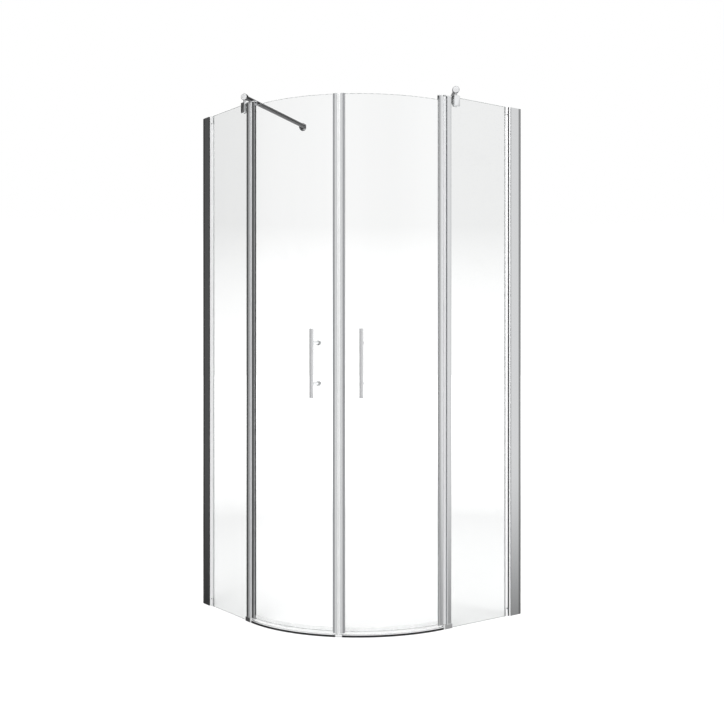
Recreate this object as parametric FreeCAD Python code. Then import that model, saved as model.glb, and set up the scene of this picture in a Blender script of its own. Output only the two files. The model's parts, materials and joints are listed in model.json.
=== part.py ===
import FreeCAD, Part
import math
import os

# Quadrant shower enclosure with two curved hinged doors, 900 x 900 mm on a tray of 500 mm radius.
#
# Every length is in millimetres and +Z is up. The tray's top is Z = 0. The room's corner stands at
# X = -450, Y = +450: the left wall is the plane X = -450 and the right wall is the plane Y = +450.
# The left half is modelled, and the right half is its mirror image across the upright plane that
# runs from the room's corner to the middle of the curved front.

Vector = FreeCAD.Vector
UP = Vector(0, 0, 1)
INTO_ROOM = Vector(1, 0, 0)
OUTWARDS = Vector(0, -1, 0)
INWARDS = Vector(0, 1, 0)
ORIGIN = Vector(0, 0, 0)
MIRROR_NORMAL = Vector(1, 1, 0)

# Overall sizes
enclosure_width = 900.0
enclosure_height = 1950.0
front_radius = 500.0
glass_thickness = 6.0

# Fits between pieces
seat_clearance = 0.1
press_clearance = 0.05
running_clearance = 0.05

# Soft strips between a pane and the pocket that holds it
gasket_thickness = 1.2
gasket_back = 2.0
gasket_lip = 0.5
gasket_screw_gap = 1.0
pane_edge_gap = 1.0

# How far a cutting body runs past the piece that it cuts
overcut = 1.0

# Wall profile, an open channel screwed to the wall
wall_profile_depth = 53.0
wall_profile_width = 21.0
wall_profile_wall = 1.8
wall_profile_corner = 3.0
wall_hole_radius = 2.75
wall_hole_count = 4
wall_hole_end = 150.0

# Adjusting profile, which slides in the wall profile and grips the fixed glass
slide_clearance = 0.2
slide_start = 12.0
slide_setback = 2.0
adjusting_wall = 1.6
neck_width = 14.0
neck_lip = 1.4
neck_crown = 0.4
neck_reach = 76.0
groove_start = 62.0
groove_width = 4.0
groove_depth = 1.4
glass_pocket_depth = 16.0
adjusting_screw_radius = 2.0
adjusting_screw_head_radius = 4.0
adjusting_screw_head = 2.2
adjusting_screw_edge = 1.0
adjusting_screw_length = 8.0
adjusting_screw_count = 3
adjusting_screw_end = 140.0
locking_screw_radius = 2.5
locking_screw_end = 30.0
locking_screw_proud = 0.4
locking_screw_inset = 6.0

# Hinge: the upright axis that each door turns about, measured from the side wall
hinge_distance = 378.0
knuckle_radius = 6.0
knuckle_bore = 3.6
knuckle_clearance = 0.5
pin_radius = 2.5
pin_head_radius = 4.2
pin_head = 1.4
pin_reach = 28.0
pin_socket_floor = 3.0
bush_length = 24.0
bush_flange_radius = 5.4
thrust_gap = 1.0

# Hinge post on the fixed glass, its head and its foot
post_width = 21.5
post_thickness = 16.0
post_corner = 2.5
post_pocket_depth = 12.0
post_nose_setback = 8.0
post_nose_bevel = 2.0
post_lip_setback = 2.0
head_thickness = 4.0
head_reach = 7.0
foot_height = 17.0
foot_overhang = 2.0
foot_reach = 10.0

# Door leaf, measured from the hinge axis
door_top_drop = 20.0
door_glass_bottom = 20.0
hinge_clamp_start = 13.0
hinge_clamp_end = 29.0
hinge_clamp_taper = 5.0
hinge_clamp_corner = 1.2
hinge_clamp_crown = 7.6
hinge_clamp_lip = 5.6
hinge_neck_half = 2.5
hinge_root_half = 3.5
door_pocket_depth = 12.0
end_cap_thickness = 3.0
end_cap_setback = 14.0

# Closing edge of each door, measured from the seam between the doors
seam_half_gap = 0.5
magnet_seal_width = 5.0
closing_profile_width = 16.0
closing_profile_thickness = 15.0
closing_profile_corner = 6.0
closing_pocket_depth = 9.0
closing_bottom = 15.0
closing_cap_thickness = 1.5
magnet_channel_half = 3.6
magnet_channel_depth = 4.0
magnet_lip = 1.2
magnet_lip_half = 2.0
magnet_head_half = 6.0
magnet_width = 2.6
magnet_half = 4.0
magnet_skin = 1.0

# Drip seal under each door
drip_leg_height = 14.0
drip_leg_thickness = 1.4
drip_web = 1.6
drip_lip_bottom = 11.0
drip_lip_thickness = 1.2
drip_lip_inset = 1.0
drip_lip_lean = 4.0
drip_end_gap = 1.0

# Threshold on the tray, measured from the middle of the glass
threshold_inner_reach = 11.0
threshold_outer_reach = 8.5
threshold_height = 10.0
threshold_shoulder = 6.0
threshold_crown = 4.0
threshold_inner_lip = 2.5
joint_length = 24.0
joint_proud = 0.8

# Handles
handle_length = 245.0
handle_height = 972.0
handle_radius = 7.5
handle_edge = 1.0
handle_pitch = 145.0
handle_from_seam = 80.0
handle_reach = 55.0
standoff_radius = 6.5
washer_radius = 8.0
washer_thickness = 1.0
washer_fit = 0.2
glass_hole_radius = 5.0
stud_radius = 3.0
stud_depth = 20.0
knob_radius = 9.0
knob_length = 14.0
knob_edge = 2.0

# Stabiliser bars from the fixed glass to the wall
clamp_distance = 323.0
clamp_width = 28.0
clamp_plate = 5.0
clamp_below = 34.0
clamp_above = 7.0
clamp_edge = 1.2
clamp_corner = 6.0
pad_thickness = 1.0
pad_size = 24.0
pad_lift = 2.0
clamp_screw_radius = 2.5
clamp_screw_pitch = 14.0
clamp_screw_proud = 0.5
stem_radius = 5.0
stem_top = 22.0
bar_rise = 28.0
bar_radius = 9.0
bar_wall = 1.5
head_disc_radius = 13.0
head_disc_front = 7.0
head_disc_back = 9.0
head_disc_edge = 1.2
spigot_length = 15.0
bracket_distance = 428.0
bracket_standoff = 15.0
bracket_disc_radius = 17.0
bracket_disc_thickness = 5.0
bracket_disc_edge = 1.0
bracket_hole_radius = 2.0
bracket_hole_pitch = 25.0
eye_radius = 8.0
eye_thickness = 8.0
eye_collar_start = 9.0
eye_collar_length = 7.0
lug_thickness = 4.0
lug_clearance = 0.2
bracket_pin_radius = 3.0
bracket_pin_foot_radius = 5.0
bracket_pin_foot = 6.0
bracket_pin_foot_edge = 1.0

# Sizes that follow from those above
half_width = enclosure_width / 2
glass_half = glass_thickness / 2
profile_half = wall_profile_width / 2
slide_half = profile_half - wall_profile_wall - slide_clearance
slide_end = wall_profile_depth - slide_setback
neck_half = neck_width / 2
post_half = post_thickness / 2
closing_half = closing_profile_thickness / 2
pocket_half = glass_half + gasket_thickness + seat_clearance
glass_line = enclosure_width - profile_half
arc_radius = front_radius - glass_half
tangent_distance = glass_line - arc_radius
arc_centre = Vector(tangent_distance - half_width, half_width - tangent_distance, 0)
hinge_along = hinge_distance - tangent_distance
seam_angle = -math.pi / 4
seam_length = arc_radius * math.pi / 4
post_start = hinge_distance - knuckle_radius - knuckle_clearance - post_width
post_top = enclosure_height - head_thickness
door_profile_bottom = foot_height + thrust_gap
door_profile_top = post_top - thrust_gap
door_glass_top = enclosure_height - door_top_drop
clamp_tip = hinge_along + hinge_clamp_end
closing_near = seam_half_gap + magnet_seal_width
closing_far = closing_near + closing_profile_width
handle_angle = seam_angle - handle_from_seam / arc_radius
handle_normal = Vector(math.cos(handle_angle), math.sin(handle_angle), 0)
handle_offset = glass_half + handle_reach
bar_height = enclosure_height + bar_rise
adjusting_screw_distance = (slide_start + slide_end) / 2
locking_screw_distance = neck_reach - locking_screw_inset


def side_point(distance, offset, height=0.0):
    """A point of the left side: distance from the left wall, offset outwards from the glass line."""
    return Vector(distance - half_width, half_width - glass_line - offset, height)


def front_point(along, offset, height=0.0):
    """A point of the left door: along its glass from where the curve starts, offset outwards."""
    if along <= 0:
        return side_point(tangent_distance + along, offset, height)
    angle = -math.pi / 2 + along / arc_radius
    radius = arc_radius + offset
    x = arc_centre.x + radius * math.cos(angle)
    y = arc_centre.y + radius * math.sin(angle)
    return Vector(x, y, height)


def seam_point(from_seam, offset, height=0.0):
    """A point of the left door's closing edge: straight back from the seam, offset outwards."""
    slant = math.sqrt(0.5)
    across = Vector(-slant, -slant, 0)
    outwards = Vector(slant, -slant, 0)
    base = arc_centre + across * from_seam + outwards * (arc_radius + offset)
    return Vector(base.x, base.y, height)


def handle_point(offset, height):
    """A point on the handle's normal, offset outwards from the middle of the curved glass."""
    return arc_centre + handle_normal * (arc_radius + offset) + UP * height


def outline_face(start, *steps):
    """A flat face: each step is a point for a straight edge, or (middle, end) for an arc."""
    edges = []
    here = start
    for step in steps + (start,):
        if isinstance(step, tuple):
            middle, end = step
            edges.append(Part.Arc(here, middle, end).toShape())
        else:
            end = step
            edges.append(Part.LineSegment(here, end).toShape())
        here = end
    return Part.Face(Part.Wire(edges))


def upright(face, bottom, top):
    """The solid that a plan face sweeps between two heights."""
    swept = face.extrude(UP * (top - bottom))
    swept.translate(UP * bottom)
    return swept


def plan_box(point, reach, offset, bottom=-overcut, top=enclosure_height + overcut):
    """An upright block between two reaches and two offsets, measured by side_point or seam_point."""
    corners = [point(reach[0], offset[0]), point(reach[1], offset[0])]
    corners += [point(reach[1], offset[1]), point(reach[0], offset[1])]
    return upright(outline_face(*corners), bottom, top)


def follow(start, end, offset):
    """Outline steps along the glass at one offset: straight before the curve starts, then an arc."""
    low, high = min(start, end), max(start, end)
    turn = max(low, 0)
    middle = front_point((turn + high) / 2, offset)
    steps = []
    if low < 0:
        steps.append(front_point(min(high, 0) if end == high else low, offset))
    if high > 0:
        steps.append((middle, front_point(high if end == high else turn, offset)))
    return steps if end == high else steps[::-1]


def plan_curve(along, offset, bottom=-overcut, top=enclosure_height + overcut):
    """An upright strip that follows the door's glass between two distances along it."""
    outline = [front_point(along[0], offset[0])]
    outline += follow(along[0], along[1], offset[0])
    outline.append(front_point(along[1], offset[1]))
    outline += follow(along[1], along[0], offset[1])
    return upright(outline_face(*outline), bottom, top)


def sweep_along(section_at, start, end):
    """Sweep an upright section along the door's glass: straight before the curve, then round it."""
    turn = max(start, 0)
    swept = section_at(turn).revolve(arc_centre, UP, math.degrees((end - turn) / arc_radius))
    if start < 0:
        swept = swept.fuse(section_at(start).extrude(-INTO_ROOM * start)).removeSplitter()
    return swept


def rod(base, direction, radius, length):
    return Part.makeCylinder(radius, length, base, direction)


def chamfered_rod(base, direction, radius, length, edge):
    """A rod whose two end edges are broken by a small chamfer."""
    tip = base + direction * (length - edge)
    core = rod(base + direction * edge, direction, radius, length - 2 * edge)
    front = Part.makeCone(radius - edge, radius, edge, base, direction)
    back = Part.makeCone(radius, radius - edge, edge, tip, direction)
    return core.fuse([front, back]).removeSplitter()


def round_upright(shape, radius, corners):
    """Round the upright edges that stand at the given plan corners."""
    edges = []
    for edge in shape.Edges:
        if len(edge.Vertexes) != 2:
            continue
        low, high = edge.Vertexes[0].Point, edge.Vertexes[1].Point
        leans = math.hypot(low.x - high.x, low.y - high.y) > seat_clearance
        if not leans and any(math.hypot(low.x - c.x, low.y - c.y) < seat_clearance for c in corners):
            edges.append(edge)
    return shape.makeFillet(radius, edges)


def round_low_corners(block, radius):
    """Round the two lower edges of a side block that run through the line of the glass."""
    low = block.BoundBox.ZMin + seat_clearance
    edges = [e for e in block.Edges if e.BoundBox.ZMax < low and e.BoundBox.XLength < seat_clearance]
    return block.makeFillet(radius, edges)


def evenly(first, last, count):
    step = (last - first) / (count - 1)
    return [first + step * i for i in range(count)]


wall_hole_heights = evenly(wall_hole_end, enclosure_height - wall_hole_end, wall_hole_count)
adjusting_screw_heights = evenly(
    adjusting_screw_end, enclosure_height - adjusting_screw_end, adjusting_screw_count
)
locking_screw_heights = evenly(locking_screw_end, enclosure_height - locking_screw_end, 2)
handle_heights = evenly(handle_height - handle_pitch / 2, handle_height + handle_pitch / 2, 2)


# ---------------------------------------------------------------- wall side


def adjusting_screw_holes(face_offset, wall):
    """Holes for the adjusting screws through one wall, from its face inside the shower."""
    radius = adjusting_screw_radius + press_clearance
    holes = []
    for height in adjusting_screw_heights:
        base = side_point(adjusting_screw_distance, face_offset - overcut, height)
        holes.append(rod(base, OUTWARDS, radius, wall + 2 * overcut))
    return holes


def wall_profile():
    """Open channel with rounded wall-side corners and holes in its web for the wall screws."""
    inner = profile_half - wall_profile_wall
    reach = (0, wall_profile_depth)
    channel = plan_box(side_point, reach, (-profile_half, profile_half), 0, enclosure_height)
    corners = [side_point(0, -profile_half), side_point(0, profile_half)]
    channel = round_upright(channel, wall_profile_corner, corners)
    hollow = (wall_profile_wall, wall_profile_depth + overcut)
    cuts = [plan_box(side_point, hollow, (-inner, inner))]
    for height in wall_hole_heights:
        base = side_point(-overcut, 0, height)
        cuts.append(rod(base, INTO_ROOM, wall_hole_radius, wall_profile_wall + 2 * overcut))
    return channel.cut(cuts + adjusting_screw_holes(-profile_half, wall_profile_wall))


def neck_edge(side):
    """One side of the neck's outline: flat, a V-groove, then a gently crowned lip to its tip."""
    floor = side_point(groove_start + groove_width / 2, side * (neck_half - groove_depth))
    face = side * neck_half
    groove_end = groove_start + groove_width
    crown_middle = (groove_end + neck_reach) / 2
    tip = side * (pocket_half + neck_lip)
    crown = (face + tip) / 2 + side * neck_crown
    flat = [side_point(slide_end, face), side_point(groove_start, face)]
    lip = [side_point(groove_end, face), side_point(crown_middle, crown), side_point(neck_reach, tip)]
    return flat + [floor], lip


def adjusting_profile():
    """Hollow slide inside the wall profile, a slimmer neck in view and a pocket for the glass."""
    outer, outer_lip = neck_edge(1)
    inner, inner_lip = neck_edge(-1)
    outline = [side_point(slide_start, -slide_half), side_point(slide_start, slide_half)]
    outline += [side_point(slide_end, slide_half)] + outer + [outer_lip[0]]
    outline += [(outer_lip[1], outer_lip[2]), inner_lip[2], (inner_lip[1], inner_lip[0])]
    outline += inner[::-1] + [side_point(slide_end, -slide_half)]
    body = upright(outline_face(*outline), 0, enclosure_height)
    pocket_start = neck_reach - glass_pocket_depth
    pocket = (pocket_start, neck_reach + overcut)
    box_half = slide_half - adjusting_wall
    box = (slide_start + adjusting_wall, slide_end - adjusting_wall)
    web_half = neck_half - adjusting_wall
    web = (slide_end, pocket_start - adjusting_wall)
    cuts = [plan_box(side_point, pocket, (-pocket_half, pocket_half))]
    cuts.append(plan_box(side_point, box, (-box_half, box_half)))
    cuts.append(plan_box(side_point, web, (-web_half, web_half)))
    for height in locking_screw_heights:
        base = side_point(locking_screw_distance, pocket_half - overcut, height)
        radius = locking_screw_radius + press_clearance
        cuts.append(rod(base, OUTWARDS, radius, neck_half - pocket_half + 2 * overcut))
    return body.cut(cuts + adjusting_screw_holes(-slide_half, adjusting_wall))


def adjusting_screws():
    """Pan-head screws inside the shower that lock the slide, and grub screws that lock the glass."""
    screws = []
    rim = adjusting_screw_head_radius
    crown = rim - adjusting_screw_edge
    for height in adjusting_screw_heights:
        base = side_point(adjusting_screw_distance, -profile_half - seat_clearance, height)
        head = Part.makeCone(rim, crown, adjusting_screw_head, base, INWARDS)
        shank = rod(base, OUTWARDS, adjusting_screw_radius, adjusting_screw_length)
        screws.append(head.fuse(shank))
    for height in locking_screw_heights:
        base = side_point(locking_screw_distance, pocket_half, height)
        length = neck_half - pocket_half + locking_screw_proud
        screws.append(rod(base, OUTWARDS, locking_screw_radius, length))
    return Part.makeCompound(screws)


# ---------------------------------------------------------------- fixed glass


def gasket_offsets():
    """Offsets of the two soft strips that fill a pocket on either side of its pane."""
    inner = glass_half + seat_clearance / 2
    outer = pocket_half - seat_clearance / 2
    return (-outer, -inner), (inner, outer)


def fixed_glass():
    """Flat toughened pane from the adjusting profile to the hinge post."""
    start = neck_reach - glass_pocket_depth + pane_edge_gap
    end = post_start + post_pocket_depth - pane_edge_gap
    return plan_box(side_point, (start, end), (-glass_half, glass_half), 0, enclosure_height)


def fixed_glass_gaskets():
    """Soft strips on both faces of the pane, in the wall-side pocket and in the post's pocket."""
    wall_side = (neck_reach - glass_pocket_depth + gasket_back, neck_reach + gasket_lip)
    post_side = (post_start - gasket_lip, post_start + post_pocket_depth - gasket_back)
    clear_of_screw = locking_screw_end + locking_screw_radius + gasket_screw_gap
    heights = (clear_of_screw, enclosure_height - clear_of_screw)
    strips = []
    for offsets in gasket_offsets():
        strips.append(plan_box(side_point, wall_side, offsets, *heights))
        strips.append(plan_box(side_point, post_side, offsets, foot_height, post_top))
    return Part.makeCompound(strips)


# ---------------------------------------------------------------- hinge


def hinge_axis(height=0.0):
    return side_point(hinge_distance, 0, height)


def hinge_post():
    """Upright on the fixed glass: a pocket for the pane, a seat for the knuckle, a lip inside."""
    nose = hinge_distance - post_nose_setback
    lip = hinge_distance - post_lip_setback
    outline = [side_point(post_start, -post_half), side_point(post_start, post_half)]
    outline += [side_point(nose - post_nose_bevel, post_half)]
    outline += [side_point(nose, post_half - post_nose_bevel), side_point(nose, 0)]
    outline += [side_point(lip, 0), side_point(lip, -post_half)]
    post = upright(outline_face(*outline), foot_height, post_top)
    post = round_upright(post, post_corner, outline[:2])
    seat = rod(hinge_axis(), UP, knuckle_radius + knuckle_clearance, enclosure_height)
    pocket = (post_start - overcut, post_start + post_pocket_depth)
    return post.cut([seat, plan_box(side_point, pocket, (-pocket_half, pocket_half))])


def hinge_plate(bottom, thickness, overhang, reach):
    """Plate over or under the post that carries a pivot pin, with a round nose about the axis."""
    start = post_start - overhang
    half = post_half + overhang
    nose = hinge_distance + reach
    outline = [side_point(start, -half), side_point(start, half), side_point(nose - half, half)]
    outline.append((side_point(nose, 0), side_point(nose - half, -half)))
    plate = upright(outline_face(*outline), bottom, bottom + thickness)
    notch = (start - overcut, post_start + post_pocket_depth)
    notch_half = glass_half + seat_clearance
    return plate.cut(plan_box(side_point, notch, (-notch_half, notch_half)))


def pivot_head():
    """Cap of the post, which holds the upper pivot pin with its head let in flush."""
    plate = hinge_plate(post_top, head_thickness, 0, head_reach)
    hole = rod(hinge_axis(), UP, pin_radius + press_clearance, enclosure_height + overcut)
    sunk = hinge_axis(enclosure_height - pin_head - seat_clearance)
    recess = rod(sunk, UP, pin_head_radius + seat_clearance, pin_head + overcut)
    return plate.cut([hole, recess])


def pivot_foot():
    """Block on the tray that carries the post, the lower pivot pin and the threshold's end."""
    block = hinge_plate(0, foot_height, foot_overhang, foot_reach)
    return block.cut(rod(hinge_axis(pin_socket_floor), UP, pin_radius + press_clearance, foot_height))


def pivot_pins():
    """Plain lower pin and upper pin with a flat head."""
    socket = pin_socket_floor + press_clearance
    lower = rod(hinge_axis(socket), UP, pin_radius, foot_height - socket + pin_reach)
    shank_bottom = post_top - pin_reach
    shank = rod(hinge_axis(shank_bottom), UP, pin_radius, enclosure_height - shank_bottom)
    head = rod(hinge_axis(enclosure_height - pin_head), UP, pin_head_radius, pin_head)
    return Part.makeCompound([lower, head.fuse(shank).removeSplitter()])


def hinge_bushes():
    """Flanged sleeves that carry the door on its two pins."""
    sleeves = []
    flange_thickness = thrust_gap - 2 * running_clearance
    reach = bush_length + thrust_gap
    for height, direction in ((door_profile_bottom, UP), (door_profile_top, -UP)):
        base = hinge_axis(height) - direction * (thrust_gap - running_clearance)
        sleeve = rod(base, direction, knuckle_bore - press_clearance, reach)
        flange = rod(base, direction, bush_flange_radius, flange_thickness)
        bore = rod(base - direction * overcut, direction, pin_radius + running_clearance, 2 * reach)
        sleeves.append(sleeve.fuse(flange).cut(bore))
    return Part.makeCompound(sleeves)


# ---------------------------------------------------------------- threshold


def threshold_section(along, proud=0.0):
    """Upright section at one distance along: a slope inside, a flat top and a round shoulder."""
    inner = -threshold_inner_reach - proud
    outer = threshold_outer_reach + proud
    top = threshold_height + proud
    crown = outer - threshold_shoulder
    spring = top - threshold_shoulder
    diagonal = threshold_shoulder * math.sqrt(0.5)
    shoulder = front_point(along, crown + diagonal, spring + diagonal)
    outline = [front_point(along, inner, 0), front_point(along, outer, 0)]
    outline += [front_point(along, outer, spring), (shoulder, front_point(along, crown, top))]
    outline.append(front_point(along, crown - threshold_crown, top))
    outline.append(front_point(along, inner, threshold_inner_lip))
    return outline_face(*outline)


def threshold():
    """Half of the bar that stops water under the doors, from the foot to the joint at the seam."""
    start = hinge_along + foot_reach + seat_clearance
    return sweep_along(threshold_section, start, seam_length - joint_length / 2 - seat_clearance)


def threshold_joint():
    """Clip that bridges the two halves of the threshold at the seam."""
    start = seam_length - joint_length / 2

    def section(along):
        return threshold_section(along, joint_proud)

    return sweep_along(section, start, start + joint_length)


# ---------------------------------------------------------------- door


def door_glass():
    """Curved toughened pane with two holes for the handle."""
    start = clamp_tip - door_pocket_depth + pane_edge_gap
    end = seam_length - closing_far + closing_pocket_depth - pane_edge_gap
    pane = plan_curve((start, end), (-glass_half, glass_half), door_glass_bottom, door_glass_top)
    holes = []
    for height in handle_heights:
        base = handle_point(-glass_half - overcut, height)
        holes.append(rod(base, handle_normal, glass_hole_radius, glass_thickness + 2 * overcut))
    return pane.cut(holes)


def hinge_clamp(bottom, top):
    """The part of the hinge profile that grips the glass: full at its root, slim at its lips."""
    root = hinge_along + hinge_clamp_start - hinge_clamp_taper
    start = hinge_along + hinge_clamp_start
    middle = (start + clamp_tip) / 2
    lips = [front_point(clamp_tip, hinge_clamp_lip), front_point(clamp_tip, -hinge_clamp_lip)]
    outline = [front_point(root, -hinge_root_half), front_point(root, hinge_root_half)]
    outline += [front_point(start, post_half), (front_point(middle, hinge_clamp_crown), lips[0])]
    outline.append(lips[1])
    outline.append((front_point(middle, -hinge_clamp_crown), front_point(start, -post_half)))
    clamp = upright(outline_face(*outline), bottom, top)
    return round_upright(clamp, hinge_clamp_corner, lips)


def door_hinge_profile():
    """One extrusion: a bored knuckle, a neck and a clamp that grips the curved glass."""
    bottom, top = door_profile_bottom, door_profile_top
    neck_end = hinge_distance + hinge_clamp_start - hinge_clamp_taper + overcut
    neck_offsets = (-hinge_neck_half, hinge_neck_half)
    neck = plan_box(side_point, (hinge_distance, neck_end), neck_offsets, bottom, top)
    knuckle = rod(hinge_axis(bottom), UP, knuckle_radius, top - bottom)
    body = hinge_clamp(bottom, top).fuse([neck, knuckle])
    bore = rod(hinge_axis(), UP, knuckle_bore, enclosure_height)
    slot = plan_curve((clamp_tip - door_pocket_depth, clamp_tip + overcut), (-pocket_half, pocket_half))
    return body.cut([bore, slot]).removeSplitter()


def closing_block(bottom, top):
    """The rounded outline of the closing profile between two heights."""
    reach = (closing_near, closing_far)
    block = plan_box(seam_point, reach, (-closing_half, closing_half), bottom, top)
    corners = [seam_point(closing_far, closing_half), seam_point(closing_far, -closing_half)]
    return round_upright(block, closing_profile_corner, corners)


def closing_profile():
    """Extrusion on the door's free edge: a pocket for the glass and a lipped channel for the seal."""
    back = seam_length - closing_far
    slot = plan_curve((back - overcut, back + closing_pocket_depth), (-pocket_half, pocket_half))
    mouth = (closing_near - overcut, closing_near + magnet_lip)
    opening = plan_box(seam_point, mouth, (-magnet_lip_half, magnet_lip_half))
    room = (closing_near + magnet_lip, closing_near + magnet_channel_depth)
    channel = plan_box(seam_point, room, (-magnet_channel_half, magnet_channel_half))
    return closing_block(closing_bottom, door_glass_top).cut([slot, opening, channel])


def magnet_seal():
    """Soft carrier held in the closing profile's channel, with a magnetic strip inside its head."""
    heights = (closing_bottom, door_glass_top)
    head = (seam_half_gap, closing_near - seat_clearance)
    carrier = plan_box(seam_point, head, (-magnet_head_half, magnet_head_half), *heights)
    stem_half = magnet_lip_half - seat_clearance
    anchor_half = magnet_channel_half - seat_clearance
    anchor_start = closing_near + magnet_lip + seat_clearance
    anchor = (anchor_start, closing_near + magnet_channel_depth - seat_clearance)
    stem = plan_box(seam_point, (head[0], anchor[1]), (-stem_half, stem_half), *heights)
    anchor = plan_box(seam_point, anchor, (-anchor_half, anchor_half), *heights)
    carrier = carrier.fuse([stem, anchor]).removeSplitter()
    room = (seam_half_gap + magnet_skin, seam_half_gap + magnet_skin + magnet_width)
    carrier = carrier.cut(plan_box(seam_point, room, (-magnet_half, magnet_half)))
    strip = (room[0] + press_clearance, room[1] - press_clearance)
    strip_half = magnet_half - press_clearance
    magnet = plan_box(seam_point, strip, (-strip_half, strip_half), *heights)
    return Part.makeCompound([carrier, magnet])


def door_glass_gaskets():
    """Soft strips on both faces of the curved pane, in the hinge clamp and the closing profile."""
    back = seam_length - closing_far
    clamp = (clamp_tip - door_pocket_depth + gasket_back, clamp_tip + gasket_lip)
    closing = (back - gasket_lip, back + closing_pocket_depth - gasket_back)
    strips = []
    for offsets in gasket_offsets():
        for along in (clamp, closing):
            strips.append(plan_curve(along, offsets, door_glass_bottom, door_glass_top))
    return Part.makeCompound(strips)


def door_end_caps():
    """Moulded caps on the ends of the hinge clamp and of the closing profile."""
    caps = []
    for bottom in (door_profile_bottom - end_cap_thickness, door_profile_top):
        cap = hinge_clamp(bottom, bottom + end_cap_thickness)
        caps.append(cap.cut(rod(hinge_axis(), UP, end_cap_setback, enclosure_height)))
    for bottom in (closing_bottom - closing_cap_thickness, door_glass_top):
        caps.append(closing_block(bottom, bottom + closing_cap_thickness))
    return Part.makeCompound(caps)


def drip_seal():
    """Clear clip on the glass's lower edge with a lip that leans inwards over the threshold."""
    inner = -glass_half - seat_clearance
    outer = glass_half + seat_clearance
    seat = door_glass_bottom - seat_clearance
    base = seat - drip_web
    top = door_glass_bottom + drip_leg_height
    root = inner + drip_lip_inset
    tip = root - drip_lip_lean
    section = [(outer + drip_leg_thickness, base), (outer + drip_leg_thickness, top), (outer, top)]
    section += [(outer, seat), (inner, seat), (inner, top), (inner - drip_leg_thickness, top)]
    section += [(inner - drip_leg_thickness, base), (tip, drip_lip_bottom)]
    section += [(tip + drip_lip_thickness, drip_lip_bottom), (root + drip_lip_thickness, base)]
    start = clamp_tip + drip_end_gap
    end = seam_length - closing_far - drip_end_gap

    def outline(along):
        return outline_face(*[front_point(along, offset, height) for offset, height in section])

    return sweep_along(outline, start, end)


# ---------------------------------------------------------------- handle


def handle_bar():
    """Round upright bar with broken end edges."""
    base = handle_point(handle_offset, handle_height - handle_length / 2)
    return chamfered_rod(base, UP, handle_radius, handle_length, handle_edge)


def handle_standoffs():
    """Two posts saddled to the bar and drilled for the studs that come through the glass."""
    posts = []
    start = glass_half + washer_thickness + 2 * seat_clearance
    saddle = rod(handle_point(handle_offset, 0), UP, handle_radius + press_clearance, enclosure_height)
    for height in handle_heights:
        post = rod(handle_point(start, height), handle_normal, standoff_radius, handle_offset - start)
        base = handle_point(start - overcut, height)
        hole = rod(base, handle_normal, stud_radius + press_clearance, stud_depth + 2 * overcut)
        posts.append(post.cut([saddle, hole]))
    return Part.makeCompound(posts)


def handle_washers():
    """Soft washers on both faces of the glass at each fixing."""
    rings = []
    near = glass_half + seat_clearance
    for height in handle_heights:
        for offset in (near, -near - washer_thickness):
            base = handle_point(offset, height)
            ring = rod(base, handle_normal, washer_radius, washer_thickness)
            base = handle_point(offset - overcut, height)
            hole = rod(base, handle_normal, stud_radius + washer_fit, washer_thickness + 2 * overcut)
            rings.append(ring.cut(hole))
    return Part.makeCompound(rings)


def handle_knobs():
    """Round nuts inside the shower, each with the stud that runs through the glass."""
    knobs = []
    seat = glass_half + washer_thickness + 2 * seat_clearance
    for height in handle_heights:
        base = handle_point(-seat, height)
        knob = chamfered_rod(base, -handle_normal, knob_radius, knob_length, knob_edge)
        base = handle_point(-seat - overcut, height)
        stud = rod(base, handle_normal, stud_radius, 2 * seat + overcut + stud_depth)
        knobs.append(knob.fuse(stud))
    return Part.makeCompound(knobs)


# ---------------------------------------------------------------- stabiliser bar


def clamp_axis(height=0.0):
    return side_point(clamp_distance, 0, height)


def bracket_axis(height=0.0):
    """The upright pivot of the wall bracket."""
    return Vector(bracket_standoff - half_width, half_width - bracket_distance, height)


bar_span = (bracket_axis() - clamp_axis()).Length
bar_direction = (bracket_axis() - clamp_axis()).normalize()
spigot_radius = bar_radius - bar_wall - seat_clearance


def clamp_screws(radius):
    """The two grub screws, or the holes for them, that press the inner pad on the glass."""
    height = enclosure_height - clamp_below / 2
    base_offset = -glass_half - pad_thickness
    half_pitch = clamp_screw_pitch / 2
    screws = []
    for distance in evenly(clamp_distance - half_pitch, clamp_distance + half_pitch, 2):
        base = side_point(distance, base_offset, height)
        screws.append(rod(base, INWARDS, radius, clamp_plate + clamp_screw_proud))
    return screws


def glass_clamp():
    """Forked block astride the top of the fixed glass, with a round stem for the bar's head."""
    slot_half = glass_half + pad_thickness
    side = slot_half + clamp_plate
    bottom = enclosure_height - clamp_below
    top = enclosure_height + clamp_above
    ends = (clamp_distance - clamp_width / 2, clamp_distance + clamp_width / 2)
    block = round_low_corners(plan_box(side_point, ends, (-side, side), bottom, top), clamp_corner)
    block = block.makeChamfer(clamp_edge, [e for e in block.Edges if e.Vertexes[0].Point.z > bottom])
    slot_ends = (ends[0] - overcut, ends[1] + overcut)
    roof = enclosure_height + seat_clearance
    slot = plan_box(side_point, slot_ends, (-slot_half, slot_half), bottom - overcut, roof)
    stem = rod(clamp_axis(top - overcut), UP, stem_radius, stem_top - clamp_above + overcut)
    holes = clamp_screws(clamp_screw_radius + press_clearance)
    return block.fuse(stem).cut([slot] + holes)


def clamp_pads():
    """Soft pads between the clamp and both faces of the glass."""
    half = pad_size / 2
    span = (clamp_distance - half, clamp_distance + half)
    inner = glass_half + press_clearance
    outer = glass_half + pad_thickness - press_clearance
    bottom = enclosure_height - clamp_below + pad_lift
    pads = []
    for offsets in ((inner, outer), (-outer, -inner)):
        pads.append(plan_box(side_point, span, offsets, bottom, bottom + pad_size))
    return Part.makeCompound(pads)


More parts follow.
